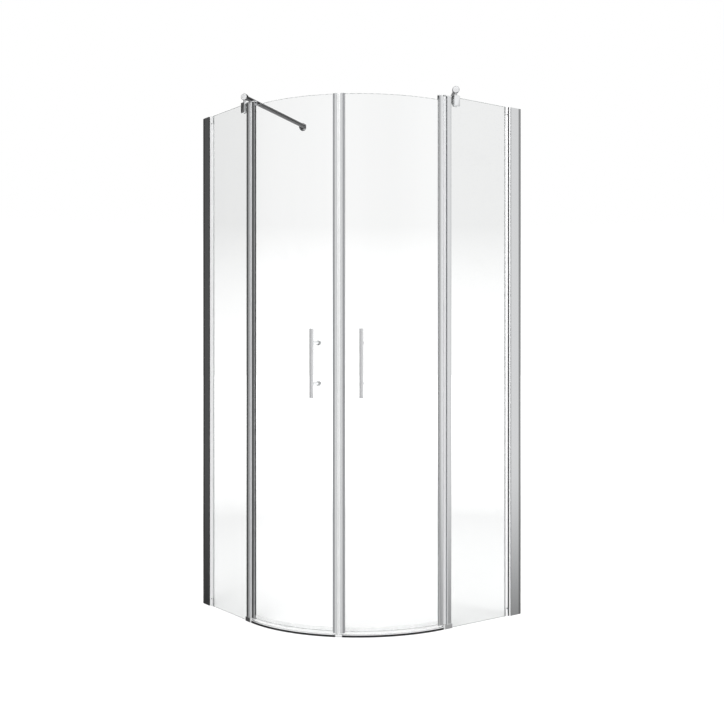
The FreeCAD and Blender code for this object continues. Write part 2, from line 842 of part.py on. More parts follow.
def stabiliser_head():
    """Round head on the clamp's stem, with a spigot that the bar slides over."""
    centre = clamp_axis(bar_height)
    front = centre - bar_direction * head_disc_front
    length = head_disc_front + head_disc_back
    disc = chamfered_rod(front, bar_direction, head_disc_radius, length, head_disc_edge)
    back = centre + bar_direction * (head_disc_back - overcut)
    spigot = rod(back, bar_direction, spigot_radius, spigot_length + overcut)
    room_top = enclosure_height + stem_top + seat_clearance
    stem_room = rod(clamp_axis(), UP, stem_radius + seat_clearance, room_top)
    return disc.fuse(spigot).cut(stem_room)


def stabiliser_bar():
    """Straight round tube between the two heads."""
    start = head_disc_back + seat_clearance
    length = bar_span - eye_collar_start - eye_collar_length - seat_clearance - start
    base = clamp_axis(bar_height) + bar_direction * start
    tube = rod(base, bar_direction, bar_radius, length)
    base -= bar_direction * overcut
    return tube.cut(rod(base, bar_direction, bar_radius - bar_wall, length + 2 * overcut))


def stabiliser_eye():
    """Wall end of the bar: a flat eye on the bracket's pin, a collar and a spigot in the tube."""
    centre = bracket_axis(bar_height)
    low = centre - UP * (eye_thickness / 2)
    eye = rod(low, UP, eye_radius, eye_thickness)
    side = bar_direction.cross(UP) * (eye_thickness / 2)
    tongue_end = low - bar_direction * (eye_collar_start + overcut)
    tongue = outline_face(low + side, tongue_end + side, tongue_end - side, low - side)
    tongue = tongue.extrude(UP * eye_thickness)
    collar_end = centre - bar_direction * (eye_collar_start + eye_collar_length)
    collar = rod(collar_end, bar_direction, bar_radius, eye_collar_length)
    spigot_end = collar_end - bar_direction * spigot_length
    spigot = rod(spigot_end, bar_direction, spigot_radius, spigot_length + overcut)
    hole = rod(low - UP * overcut, UP, bracket_pin_radius + seat_clearance, eye_thickness + 2 * overcut)
    return eye.fuse([tongue, collar, spigot]).cut(hole)


def wall_bracket():
    """Round wall plate with two lugs that take the eye between them and two screw holes."""
    centre = bracket_axis(bar_height)
    wall = centre - INTO_ROOM * bracket_standoff
    flat = bracket_disc_thickness - bracket_disc_edge
    rim = rod(wall, INTO_ROOM, bracket_disc_radius, flat)
    face_radius = bracket_disc_radius - bracket_disc_edge
    edge_base = wall + INTO_ROOM * flat
    edge = Part.makeCone(bracket_disc_radius, face_radius, bracket_disc_edge, edge_base, INTO_ROOM)
    lug_reach = bracket_standoff - flat
    lug_gap = eye_thickness / 2 + lug_clearance
    lugs = []
    for level in (lug_gap, -lug_gap - lug_thickness):
        base = centre + UP * level
        corner = base - INTO_ROOM * lug_reach - INWARDS * eye_radius
        lugs.append(rod(base, UP, eye_radius, lug_thickness))
        lugs.append(Part.makeBox(lug_reach, 2 * eye_radius, lug_thickness, corner))
    reach = lug_gap + lug_thickness + overcut
    holes = [rod(centre - UP * reach, UP, bracket_pin_radius + seat_clearance, 2 * reach)]
    for height in evenly(-bracket_hole_pitch / 2, bracket_hole_pitch / 2, 2):
        base = wall + UP * height - INTO_ROOM * overcut
        holes.append(rod(base, INTO_ROOM, bracket_hole_radius, bracket_disc_thickness + 2 * overcut))
    return rim.fuse([edge] + lugs).removeSplitter().cut(holes)


def stabiliser_fasteners():
    """Pin of the wall bracket with its round foot, and the two grub screws of the glass clamp."""
    centre = bracket_axis(bar_height)
    reach = eye_thickness / 2 + lug_clearance + lug_thickness
    foot_base = centre - UP * (reach + seat_clearance)
    foot = chamfered_rod(foot_base, -UP, bracket_pin_foot_radius, bracket_pin_foot, bracket_pin_foot_edge)
    shank_base = foot_base - UP * overcut
    shank = rod(shank_base, UP, bracket_pin_radius, 2 * reach + seat_clearance + overcut)
    return Part.makeCompound([foot.fuse(shank)] + clamp_screws(clamp_screw_radius))


SIDE_PIECES = {
    "wall_profile": wall_profile,
    "adjusting_profile": adjusting_profile,
    "adjusting_screws": adjusting_screws,
    "fixed_glass": fixed_glass,
    "fixed_glass_gaskets": fixed_glass_gaskets,
    "hinge_post": hinge_post,
    "pivot_head": pivot_head,
    "pivot_foot": pivot_foot,
    "pivot_pins": pivot_pins,
    "threshold": threshold,
    "glass_clamp": glass_clamp,
    "clamp_pads": clamp_pads,
    "stabiliser_head": stabiliser_head,
    "stabiliser_bar": stabiliser_bar,
    "stabiliser_eye": stabiliser_eye,
    "wall_bracket": wall_bracket,
    "stabiliser_fasteners": stabiliser_fasteners,
    "door_glass": door_glass,
    "door_hinge_profile": door_hinge_profile,
    "door_glass_gaskets": door_glass_gaskets,
    "hinge_bushes": hinge_bushes,
    "door_end_caps": door_end_caps,
    "closing_profile": closing_profile,
    "magnet_seal": magnet_seal,
    "drip_seal": drip_seal,
    "handle_bar": handle_bar,
    "handle_standoffs": handle_standoffs,
    "handle_washers": handle_washers,
    "handle_knobs": handle_knobs,
}


def main():
    os.makedirs("parts", exist_ok=True)
    for name, make in SIDE_PIECES.items():
        left = make()
        left.exportStep(f"parts/left_{name}.step")
        left.mirror(ORIGIN, MIRROR_NORMAL).exportStep(f"parts/right_{name}.step")
    threshold_joint().exportStep("parts/threshold_joint.step")


main()
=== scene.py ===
import json
import math

import bmesh
import bpy
from bpy.props import FloatProperty, FloatVectorProperty, PointerProperty
from mathutils import Matrix, Vector

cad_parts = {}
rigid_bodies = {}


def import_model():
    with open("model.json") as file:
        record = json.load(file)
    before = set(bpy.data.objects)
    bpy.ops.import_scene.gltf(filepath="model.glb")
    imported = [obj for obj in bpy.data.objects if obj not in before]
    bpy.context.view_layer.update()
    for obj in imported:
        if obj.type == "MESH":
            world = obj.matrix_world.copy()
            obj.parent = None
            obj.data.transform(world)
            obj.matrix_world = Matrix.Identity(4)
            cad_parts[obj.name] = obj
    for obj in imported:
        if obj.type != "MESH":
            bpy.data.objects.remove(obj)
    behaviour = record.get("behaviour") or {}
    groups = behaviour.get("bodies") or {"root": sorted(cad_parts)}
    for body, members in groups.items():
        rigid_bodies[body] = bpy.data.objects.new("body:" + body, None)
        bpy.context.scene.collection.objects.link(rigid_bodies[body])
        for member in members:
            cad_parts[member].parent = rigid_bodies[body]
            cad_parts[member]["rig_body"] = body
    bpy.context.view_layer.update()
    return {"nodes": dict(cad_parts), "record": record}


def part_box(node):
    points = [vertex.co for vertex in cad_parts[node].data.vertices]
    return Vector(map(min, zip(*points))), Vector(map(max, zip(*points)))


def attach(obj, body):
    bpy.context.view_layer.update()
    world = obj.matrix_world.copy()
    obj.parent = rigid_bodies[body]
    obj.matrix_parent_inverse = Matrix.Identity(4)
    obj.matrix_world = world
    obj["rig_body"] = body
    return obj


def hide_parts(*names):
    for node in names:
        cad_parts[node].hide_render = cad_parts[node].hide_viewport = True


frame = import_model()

bl_info = {
    "name": "Quadrant shower enclosure",
    "version": (1, 0, 0),
    "blender": (4, 5, 0),
    "location": "3D View > Sidebar > Shower",
    "description": "Finishes a quadrant shower enclosure with two curved hinged doors",
    "category": "Add Mesh",
}

MM = 0.001
UP = Vector((0, 0, 1))
SIDES = ("left", "right")
OUTWARDS = {"left": Vector((0, -1, 0)), "right": Vector((1, 0, 0))}
FROM_WALL = {"left": Vector((1, 0, 0)), "right": Vector((0, -1, 0))}
# Swaps the left side with the right one.
MIRROR = Matrix(((0, -1, 0, 0), (-1, 0, 0, 0), (0, 0, 1, 0), (0, 0, 0, 1)))
NODES = frame["nodes"]
FINISH_OF = {entry["node"]: entry["material_slot"] for entry in frame["record"]["subparts"]}


# ---- settings


def length_property(name, description, default):
    return FloatProperty(
        name=name, description=description, default=default, unit="LENGTH", precision=5
    )


def colour_property(name, description, default):
    return FloatVectorProperty(
        name=name, description=description, default=default, subtype="COLOR", size=3, min=0, max=1
    )


def share_property(name, description, default):
    return FloatProperty(
        name=name, description=description, default=default, subtype="FACTOR", min=0, max=1
    )


class ShowerGlassSettings(bpy.types.PropertyGroup):
    door_tint: colour_property("Door tint", "Colour of the curved panes", (0.945, 0.950, 0.949))
    # The flat panes are tinted greyer than the doors, the right one most: painted shade on the
    # glass.
    left_shaded_tint: colour_property("Left tint", "Colour of the left flat pane", (0.880, 0.887, 0.885))
    right_shaded_tint: colour_property("Right tint", "Colour of the right pane", (0.850, 0.857, 0.855))
    edge_tint: colour_property("Edge tint", "Colour of the ground edges", (0.26, 0.31, 0.30))
    edge_roughness: share_property("Edge roughness", "How matt the ground edges are", 0.22)
    arris: length_property("Arris", "Width of the broken glass edges", 0.8 * MM)


class ShowerCurveSettings(bpy.types.PropertyGroup):
    centre: length_property("Curve centre", "How far it is from both middle lines", 57.5 * MM)
    radius: length_property("Curve radius", "Radius to the middle of the glass", 497 * MM)
    glass_half: length_property("Half glass", "Half the thickness of the curved panes", 3 * MM)
    pane_start: length_property("Pane start", "Start of a pane along the curve", 3.5 * MM)
    pane_end: length_property("Pane end", "End of a pane along the curve", 376.84 * MM)
    seal_start: length_property("Seal start", "Start of a drip seal along the curve", 15.5 * MM)
    seal_end: length_property("Seal end", "End of a drip seal along the curve", 367.84 * MM)
    sill_start: length_property("Threshold start", "Its start along the curve", -4.4 * MM)
    joint_half: length_property("Half joint", "Half the length of the threshold's joint", 12 * MM)
    joint_proud: length_property("Joint proud", "Its rise over the threshold", 0.8 * MM)
    hole_radius: length_property("Hole", "Radius of the handle's holes in the glass", 5 * MM)
    patch_half: length_property("Patch", "Half the square of mesh round such a hole", 12 * MM)


class ShowerMetalSettings(bpy.types.PropertyGroup):
    aluminium: colour_property("Aluminium", "Colour of the bright profiles", (0.80, 0.81, 0.82))
    aluminium_roughness: share_property("Profile roughness", "How matt the profiles are", 0.17)
    chrome: colour_property("Chrome", "Colour of the plated fittings", (0.83, 0.84, 0.85))
    chrome_roughness: share_property("Chrome roughness", "How matt the plating is", 0.05)
    steel: colour_property("Steel", "Colour of screws and pins", (0.60, 0.61, 0.62))
    facet_width: length_property("Facet", "Width of the sloped facet next to the wall", 13 * MM)
    facet_turn: FloatProperty(
        name="Facet turn", description="Its slope", default=math.radians(6), subtype="ANGLE"
    )
    # The necks' black strips are painted shadow in the gap next to the channel.
    shadow_strip_width: length_property("Strip", "Width of the left neck's black strip", 1.8 * MM)
    shadow_strip_start: length_property("Strip start", "How far out the black strips start", 5.5 * MM)
    # The closing profiles' grey lip is painted shade on their edge by the glass.
    shade_lip_width: length_property("Lip", "Width of the closing profiles' grey lip", 7 * MM)
    profile_edge: length_property("Profile edge", "Radius on extruded edges", 0.35 * MM)
    fitting_edge: length_property("Fitting edge", "Radius on plated edges", 0.45 * MM)


class ShowerPlasticSettings(bpy.types.PropertyGroup):
    cap: colour_property("Cap colour", "Colour of the end caps", (0.62, 0.625, 0.63))
    gasket: colour_property("Gasket colour", "Colour of the soft washers", (0.80, 0.81, 0.81))
    seal: colour_property("Seal colour", "Colour of the magnetic seals", (0.93, 0.94, 0.94))
    bush: colour_property("Bush colour", "Colour of the hinge bushes", (0.78, 0.78, 0.75))


class ShowerStageSettings(bpy.types.PropertyGroup):
    camera_place: FloatVectorProperty(
        name="Camera place",
        description="Where the camera stands",
        default=(3.3734, -2.3950, 1.0161),
        subtype="TRANSLATION",
        unit="LENGTH",
    )
    camera_turn: FloatProperty(
        name="Camera turn",
        description="Turn of the level camera about the vertical",
        default=math.radians(52.79),
        subtype="ANGLE",
    )
    lens: FloatProperty(name="Lens", description="Focal length, mm", default=52.085, min=10)
    floor_tone: share_property("Floor tone", "Grey level of the floor", 0.80)
    lamp_power: FloatProperty(name="Lamp power", description="Main lamp's power, W", default=95)


# ---- node helpers

FLOAT = "NodeSocketFloat"
VECTOR = "NodeSocketVector"
# Numbers of a Mix node's colour sockets, which share their names with its other sockets.
COLOUR_A, COLOUR_B, COLOUR_RESULT = 6, 7, 2


def feed(tree, node, values):
    """Give a node's inputs, by name or number, a plain value or another node's output."""
    for socket, value in values.items():
        if isinstance(value, bpy.types.NodeSocket):
            tree.links.new(value, node.inputs[socket])
        else:
            node.inputs[socket].default_value = value


def add(tree, kind, values=None, **settings):
    node = tree.nodes.new("ShaderNode" + kind)
    for name, value in settings.items():
        setattr(node, name, value)
    feed(tree, node, values or {})
    return node


def maths(tree, operation, *values, **settings):
    node = add(tree, "Math", dict(enumerate(values)), operation=operation, **settings)
    return node.outputs["Value"]


def vector_maths(tree, operation, *values):
    return add(tree, "VectorMath", dict(enumerate(values)), operation=operation).outputs


def blend(tree, factor, low, high):
    values = {"Factor": factor, "A": low, "B": high}
    return add(tree, "Mix", values, data_type="FLOAT").outputs["Result"]


def spread(tree, value, low, high, to_low=0.0, to_high=1.0, smooth=True):
    """Spread one value range over another."""
    ranges = {"From Min": low, "From Max": high, "To Min": to_low, "To Max": to_high}
    kind = "SMOOTHSTEP" if smooth else "LINEAR"
    node = add(tree, "MapRange", {"Value": value, **ranges}, interpolation_type=kind, clamp=True)
    return node.outputs["Result"]


def noise(tree, place, scale, detail, roughness=0.5, distortion=0.0):
    values = {"Vector": place, "Scale": scale, "Detail": detail}
    values.update({"Roughness": roughness, "Distortion": distortion})
    return add(tree, "TexNoise", values).outputs["Fac"]


def object_place(tree):
    return add(tree, "TexCoord").outputs["Object"]


def mix_shaders(tree, factor, first, second):
    return add(tree, "MixShader", {"Fac": factor, 1: first, 2: second}).outputs["Shader"]


def seen_rays(tree):
    """One for rays from the camera, straight or through glass, and nought for all others."""
    path = add(tree, "LightPath").outputs
    return maths(tree, "ADD", path["Is Camera Ray"], path["Is Transmission Ray"], use_clamp=True)


# ---- shared effects


def new_group(name, inputs, outputs):
    """An empty shader group with its sockets, and its two end nodes."""
    group = bpy.data.node_groups.new(name, "ShaderNodeTree")
    for socket, kind, value in inputs:
        made = group.interface.new_socket(name=socket, in_out="INPUT", socket_type=kind)
        made.default_value = value
    for socket in outputs:
        group.interface.new_socket(name=socket, in_out="OUTPUT", socket_type=FLOAT)
    return group, group.nodes.new("NodeGroupInput").outputs, group.nodes.new("NodeGroupOutput")


def edge_wear_group(name):
    """Mask of the worn edges: where a rounded normal leaves the true one, broken up by noise."""
    inputs = [("Width", FLOAT, 0.0008), ("Break up", FLOAT, 0.5)]
    group, given, end = new_group(name, inputs, ["Mask"])
    rounded = add(group, "Bevel", {"Radius": given["Width"]}, samples=4).outputs["Normal"]
    true = add(group, "NewGeometry").outputs["Normal"]
    edge = spread(group, vector_maths(group, "DOT_PRODUCT", rounded, true)["Value"], 0.985, 0.80)
    patchy = spread(group, noise(group, object_place(group), 420.0, 3.0, 0.6), 0.35, 0.65)
    share = blend(group, given["Break up"], 1.0, patchy)
    feed(group, end, {"Mask": maths(group, "MULTIPLY", edge, share)})
    return group


def drawn_lines_group(name):
    """Fine lines that run along one axis, as on drawn and extruded metal."""
    inputs = [("Stretch", VECTOR, (1.0, 1.0, 0.004)), ("Scale", FLOAT, 1400.0)]
    group, given, end = new_group(name, inputs, ["Height", "Value"])
    place = vector_maths(group, "MULTIPLY", object_place(group), given["Stretch"])["Vector"]
    fine = noise(group, place, given["Scale"], 2.0, 0.7)
    broad = noise(group, place, 60.0, 1.0)
    feed(group, end, {"Height": fine, "Value": blend(group, 0.35, fine, broad)})
    return group


def smudge_group(name):
    """Soft cloudy marks, such as dried water and finger marks on polished surfaces."""
    inputs = [("Scale", FLOAT, 9.0), ("Cover", FLOAT, 0.5)]
    group, given, end = new_group(name, inputs, ["Mask"])
    place = object_place(group)
    cloud = noise(group, place, given["Scale"], 5.0, 0.62, 0.6)
    drops = add(group, "TexVoronoi", {"Vector": place, "Scale": 210.0, "Randomness": 1.0})
    rings = spread(group, drops.outputs["Distance"], 0.10, 0.03)
    patch = spread(group, cloud, given["Cover"], 0.75)
    feed(group, end, {"Mask": maths(group, "MULTIPLY_ADD", rings, 0.05, patch)})
    return group


def grain_group(name):
    """Fine moulded grain for plastics and rubber."""
    group, given, end = new_group(name, [("Scale", FLOAT, 900.0)], ["Height", "Tone"])
    place = object_place(group)
    fine = noise(group, place, given["Scale"], 2.0)
    feed(group, end, {"Height": fine, "Tone": noise(group, place, 22.0, 3.0)})
    return group


EFFECTS = {
    "Shower edge wear": edge_wear_group,
    "Shower drawn lines": drawn_lines_group,
    "Shower smudges": smudge_group,
    "Shower grain": grain_group,
}


def effect(tree, name, **values):
    """The outputs of a shared effect, whose group is built on first use."""
    node = tree.nodes.new("ShaderNodeGroup")
    node.node_tree = bpy.data.node_groups.get(name) or EFFECTS[name](name)
    for socket, value in values.items():
        node.inputs[socket.replace("_", " ")].default_value = value
    return node.outputs


def worn_edges(tree, width, break_up, amount):
    mask = effect(tree, "Shower edge wear", Width=width, Break_up=break_up)["Mask"]
    return maths(tree, "MULTIPLY", mask, amount)


# ---- materials

GLASS_IOR, PLASTIC_IOR, CLEAR_SEAL_IOR = 1.5, 1.46, 1.12
MARK_ROUGHNESS = 0.012
# Depths of drawn lines and of moulded grain, in metres.
EXTRUDED_LINES, FINE_LINES, SATIN_LINES = 0.00002, 0.000005, 0.00001
SILL_LINES = 0.000004
GRAIN, COARSE_GRAIN, SMOOTH_GRAIN = 0.00003, 0.00005, 0.00001


def new_material(name, values):
    """A material, its tree and its shader, with plain values on the shader's own sockets."""
    material = bpy.data.materials.new(name)
    material.use_nodes = True
    shader = material.node_tree.nodes["Principled BSDF"]
    feed(material.node_tree, shader, values)
    return material, material.node_tree, shader


def mix_colour(tree, factor, low, high):
    """Mix two colours, each a plain colour or another node's colour output, by a socket."""
    low, high = [c if isinstance(c, bpy.types.NodeSocket) else (*c, 1) for c in (low, high)]
    values = {"Factor": factor, COLOUR_A: low, COLOUR_B: high}
    return add(tree, "Mix", values, data_type="RGBA").outputs[COLOUR_RESULT]


def scaled(colour, factor):
    return tuple(min(1.0, c * factor) for c in colour)


def add_bump(tree, height, shader, distance, strength):
    bump = add(tree, "Bump", {"Strength": strength, "Distance": distance, "Height": height})
    feed(tree, shader, {"Normal": bump.outputs["Normal"]})


def clear_in_shadow(tree, shader, colour):
    """Let lamps through a clear material, so that its shadow is only tinted."""
    clear = add(tree, "BsdfTransparent", {"Color": (*colour, 1)}).outputs["BSDF"]
    shadow = add(tree, "LightPath").outputs["Is Shadow Ray"]
    mixed = mix_shaders(tree, shadow, shader.outputs["BSDF"], clear)
    feed(tree, tree.nodes["Material Output"], {"Surface": mixed})


def glass_material(name, tint, roughness, mark_roughness):
    """Clear float glass: it bends what is behind it, and lets lamps through for shadows."""
    values = {"Transmission Weight": 1.0, "IOR": GLASS_IOR}
    material, tree, shader = new_material(name, values)
    marks = effect(tree, "Shower smudges", Scale=5.0, Cover=0.55)["Mask"]
    colour = mix_colour(tree, marks, tint, scaled(tint, 0.985))
    rough = spread(tree, marks, 0.0, 1.3, roughness, mark_roughness)
    feed(tree, shader, {"Base Color": colour, "Roughness": rough})
    clear_in_shadow(tree, shader, scaled(tint, 0.97))
    return material


def metal_material(
    name, colour, roughness, line_depth, wear=0.35, marks_scale=14.0, metallic=1.0
):
    """Metal with drawn lines, worn bright edges and a few dried drops."""
    material, tree, shader = new_material(name, {"Metallic": metallic})
    lines = effect(tree, "Shower drawn lines")
    worn = worn_edges(tree, 0.0007, 0.6, wear)
    marks = effect(tree, "Shower smudges", Scale=marks_scale, Cover=0.52)["Mask"]
    base = mix_colour(tree, lines["Value"], scaled(colour, 0.955), scaled(colour, 1.03))
    base = mix_colour(tree, worn, base, scaled(colour, 1.12))
    low, high = roughness * 0.85, roughness * 1.2
    fine = spread(tree, lines["Value"], 0.3, 0.7, low, high, smooth=False)
    dull = maths(tree, "MULTIPLY_ADD", marks, 0.03, fine)
    feed(tree, shader, {"Base Color": base, "Roughness": dull})
    if line_depth:
        add_bump(tree, lines["Height"], shader, line_depth, 0.35)
    return material


def satin_material(name, colour, roughness, metallic=0.25):
    """Pale satin anodising: mostly its own colour, with a soft metallic gloss over it."""
    return metal_material(name, colour, roughness, SATIN_LINES, 0.2, metallic=metallic)


def soft_material(name, colour, roughness, grain_depth, transmission=0.0, ior=PLASTIC_IOR):
    """Moulded or extruded plastic and rubber with a fine grain."""
    values = {"Transmission Weight": transmission, "IOR": ior}
    material, tree, shader = new_material(name, values)
    texture = effect(tree, "Shower grain", Scale=900.0)
    worn = worn_edges(tree, 0.0006, 0.7, 0.3)
    base = mix_colour(tree, texture["Tone"], scaled(colour, 0.9), scaled(colour, 1.08))
    base = mix_colour(tree, worn, base, tuple(min(1.0, c + 0.08) for c in colour))
    low, high = roughness * 0.85, min(1.0, roughness * 1.15)
    rough = spread(tree, texture["Tone"], 0.3, 0.7, low, high)
    feed(tree, shader, {"Base Color": base, "Roughness": rough})
    add_bump(tree, texture["Height"], shader, grain_depth, 0.5)
    if transmission:
        clear_in_shadow(tree, shader, scaled(colour, 0.8))
    return material


def finish_table(scene):
    """The finishes by the function that makes them, with what it is given after the name."""
    metal, glass, plastic = scene.shower_metal, scene.shower_glass, scene.shower_plastic
    return {
        glass_material: {
            "door_glass": (glass.door_tint, 0.0, MARK_ROUGHNESS),
            # Darker tints of the same glass on the flat panes: painted shade.
            "left_glass": (glass.left_shaded_tint, 0.0, MARK_ROUGHNESS),
            "right_glass": (glass.right_shaded_tint, 0.0, MARK_ROUGHNESS),
            "glass_edge": (glass.edge_tint, glass.edge_roughness, 0.35),
        },
        metal_material: {
            "bright_aluminium": (metal.aluminium, metal.aluminium_roughness, EXTRUDED_LINES),
            "polished_aluminium": (metal.aluminium, 0.07, FINE_LINES),
            "bright_threshold": ((0.93, 0.935, 0.94), 0.10, SILL_LINES, 0.2),
            "chrome": (metal.chrome, metal.chrome_roughness, 0, 0.15),
            # Chrome with a dark colour: painted shade standing for the dark studio it mirrors.
            "dark_chrome": ((0.115, 0.117, 0.122), 0.07, 0, 0.15),
            "steel": (metal.steel, 0.28, EXTRUDED_LINES, 0.5, 40.0),
            "black_steel": ((0.10, 0.10, 0.105), 0.34, 0, 0.6, 40.0),
        },
        satin_material: {
            "satin_aluminium": ((0.95, 0.955, 0.96), 0.38),
            "brushed_chrome": ((0.88, 0.885, 0.90), 0.14, 0.80),
            # Pale satin for the heads' disc faces: a painted highlight.
            "disc_chrome": ((0.80, 0.805, 0.815), 0.2, 0.4),
            # Paler satin on the knuckle: a painted highlight.
            "knuckle_satin": ((0.74, 0.745, 0.755), 0.30),
            # Dark grey satin for the closing profiles' lip: painted shade.
            "grey_lip": ((0.27, 0.275, 0.285), 0.3, 0.2),
        },
        soft_material: {
            "gasket": (plastic.gasket, 0.45, GRAIN, 0.35),
            "pale_gasket": ((0.92, 0.925, 0.925), 0.45, GRAIN),
            "grey_gasket": ((0.50, 0.505, 0.51), 0.5, GRAIN),
            # Darker copy of the door gaskets: painted shade near the left hinge.
            "dark_gasket": ((0.06, 0.06, 0.063), 0.5, GRAIN),
            # Near-black finish: painted shadow in the gaps beside the necks and along the
            # threshold's foot.
            "black_strip": ((0.012, 0.012, 0.013), 0.5, GRAIN),
            "clear_seal": ((0.97, 0.975, 0.975), 0.10, SMOOTH_GRAIN, 0.94, CLEAR_SEAL_IOR),
            "magnet_seal": (scaled(plastic.seal, 0.86), 0.35, GRAIN),
            "bush_plastic": (plastic.bush, 0.38, GRAIN),
            "cap_plastic": (plastic.cap, 0.42, COARSE_GRAIN),
        },
    }


def finish(name):
    """The material of a finish, made on first use from the settings."""
    full = "shower_" + name
    if full not in bpy.data.materials:
        for make, looks in finish_table(bpy.context.scene).items():
            if name in looks:
                make(full, *looks[name])
    return bpy.data.materials[full]


# ---- mesh helpers

# Edges sharper than this many degrees are shaded sharp, and broken by a small radius.
SHARP = 32.0
# Smallest turn of the surface, in degrees, that isn't taken for flat.
FLAT = 0.05
# How near two points are one, in metres: in a node's mesh, in a turned shape and at a cut.
NODE_MERGE, TURNED_MERGE, CUT_MERGE = 2e-6, 1e-7, 1e-7
TURNED_STEPS = 56
SWEEP_STEPS = 44
SCREW_SEGMENTS, SOCKET_CUTS, HOLE_SEGMENTS = 36, 5, 32


def edges_of(verts):
    return list(dict.fromkeys(edge for vert in verts for edge in vert.link_edges))


def middle_of(node):
    low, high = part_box(node)
    return (low + high) / 2


def new_object(name, data):
    made = bpy.data.objects.new(name, data)
    bpy.context.scene.collection.objects.link(made)
    return made


def mesh_object(bm, name):
    """Turn a bmesh into an object."""
    mesh = bpy.data.meshes.new(name)
    bm.to_mesh(mesh)
    bm.free()
    return new_object(name, mesh)


def stand_in(bm, node, ending, look, sharp=SHARP):
    """Turn a bmesh into the piece that stands for a node, and rides on the node's body."""
    piece = mesh_object(bm, f"{node}_{ending}")
    piece.data.materials.append(finish(look))
    piece.data.shade_smooth()
    piece.data.set_sharp_from_angle(angle=math.radians(sharp))
    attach(piece, NODES[node]["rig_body"])
    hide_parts(node)
    return piece


def break_edges(piece, width, segments=2):
    """Round every sharp edge."""
    modifier = piece.modifiers.new("Broken edges", "BEVEL")
    modifier.width = width
    modifier.segments = segments
    modifier.limit_method = "ANGLE"
    modifier.angle_limit = math.radians(SHARP)
    modifier.use_clamp_overlap = False
    modifier.harden_normals = True


def merged_copy(node):
    """A bmesh of a node's mesh with its loose triangles joined and its flat faces made whole."""
    bm = bmesh.new()
    bm.from_mesh(NODES[node].data)
    bmesh.ops.remove_doubles(bm, verts=bm.verts, dist=NODE_MERGE)
    flat = math.radians(FLAT)
    bmesh.ops.dissolve_limit(bm, angle_limit=flat, verts=bm.verts, edges=bm.edges)
    return bm


def edged_piece(node, width, segments=2, look=None):
    """A node's own shape again, with its sharp edges broken by a small radius."""
    piece = stand_in(merged_copy(node), node, "finished", look or FINISH_OF[node])
    break_edges(piece, width, segments)
    return piece


def mark_faces(piece, look, chosen):
    """Give the faces that a test picks another finish."""
    piece.data.materials.append(finish(look))
    index = len(piece.data.materials) - 1
    for face in piece.data.polygons:
        if chosen(face):
            face.material_index = index


def turn_to(axis):
    """The turn that takes Z to an axis."""
    return UP.rotation_difference(axis).to_matrix().to_4x4()


def set_down(bm, first, place, axis):
    """Turn what was made along Z since a vertex count to an axis, and move it to its place."""
    bm.verts.ensure_lookup_table()
    matrix = Matrix.Translation(place) @ turn_to(axis)
    bmesh.ops.transform(bm, matrix=matrix, verts=bm.verts[first:])


def turned(bm, outline, place, axis):
    """Spin an outline of (radius, distance) points, which starts and ends on the axis."""
    made = bmesh.new()
    chain = [made.verts.new((radius, 0, along)) for radius, along in outline]
    edges = [made.edges.new(pair) for pair in zip(chain, chain[1:])]
    bmesh.ops.spin(
        made,
        geom=chain + edges,
        cent=(0, 0, 0),
        axis=(0, 0, 1),
        angle=math.tau,
        steps=TURNED_STEPS,
        use_merge=True,
    )
    bmesh.ops.remove_doubles(made, verts=made.verts, dist=TURNED_MERGE)
    bmesh.ops.recalc_face_normals(made, faces=made.faces)
    set_down(made, 0, place, axis)
    joined = bpy.data.meshes.new("turned_shape")
    made.to_mesh(joined)
    made.free()
    bm.from_mesh(joined)
    bpy.data.meshes.remove(joined)


def extruded_ring(bm, edges, radius, height):
    """Extrude a ring of edges to a new radius and height, and return its far edges."""
    old = edges[0].verts[0].co.xy.length
    made = bmesh.ops.extrude_edge_only(bm, edges=edges)["geom"]
    verts = [item for item in made if isinstance(item, bmesh.types.BMVert)]
    known = set(verts)
    bmesh.ops.scale(bm, vec=(radius / old, radius / old, 1), verts=verts)
    bmesh.ops.translate(bm, vec=(0, 0, height - verts[0].co.z), verts=verts)
    return [edge for edge in edges_of(verts) if known.issuperset(edge.verts)]


def socket_screw(bm, outline, place, axis, across, depth):
    """A screw from its driven end: a hexagon socket in a head of (radius, distance) steps."""
    first = len(bm.verts)
    radius = across / math.sqrt(3)
    corners = bmesh.ops.create_circle(bm, segments=6, radius=radius)["verts"]
    bmesh.ops.subdivide_edges(bm, edges=edges_of(corners), cuts=SOCKET_CUTS)
    bm.verts.ensure_lookup_table()
    hexagon = edges_of(bm.verts[first:])
    head = bmesh.ops.create_circle(bm, segments=SCREW_SEGMENTS, radius=outline[0][0])["verts"]
    rim = edges_of(head)
    bmesh.ops.bridge_loops(bm, edges=hexagon + rim)
    for radius, along in outline[1:]:
        rim = extruded_ring(bm, rim, radius, along)
    bmesh.ops.contextual_create(bm, geom=rim)
    floor = extruded_ring(bm, hexagon, hexagon[0].verts[0].co.xy.length, -depth)
    bmesh.ops.contextual_create(bm, geom=floor)
    bm.verts.ensure_lookup_table()
    faces = {face for vert in bm.verts[first:] for face in vert.link_faces}
    bmesh.ops.recalc_face_normals(bm, faces=list(faces))
    set_down(bm, first, place, axis)


def cut_across(bm, place, normal, merge=CUT_MERGE):
    geom = bm.verts[:] + bm.edges[:] + bm.faces[:]
    bmesh.ops.bisect_plane(bm, geom=geom, dist=merge, plane_co=place, plane_no=normal)


def curve_axis(curve):
    return Vector((-curve.centre, curve.centre, 0))


def spoke_at(turn):
    """Level direction at a compass angle about the curve's axis."""
    return Vector((math.cos(turn), math.sin(turn), 0))


def cut_at(bm, curve, turn):
    """Cut along the upright plane through the curve's axis at a compass angle."""
    cut_across(bm, curve_axis(curve), UP.cross(spoke_at(turn)))


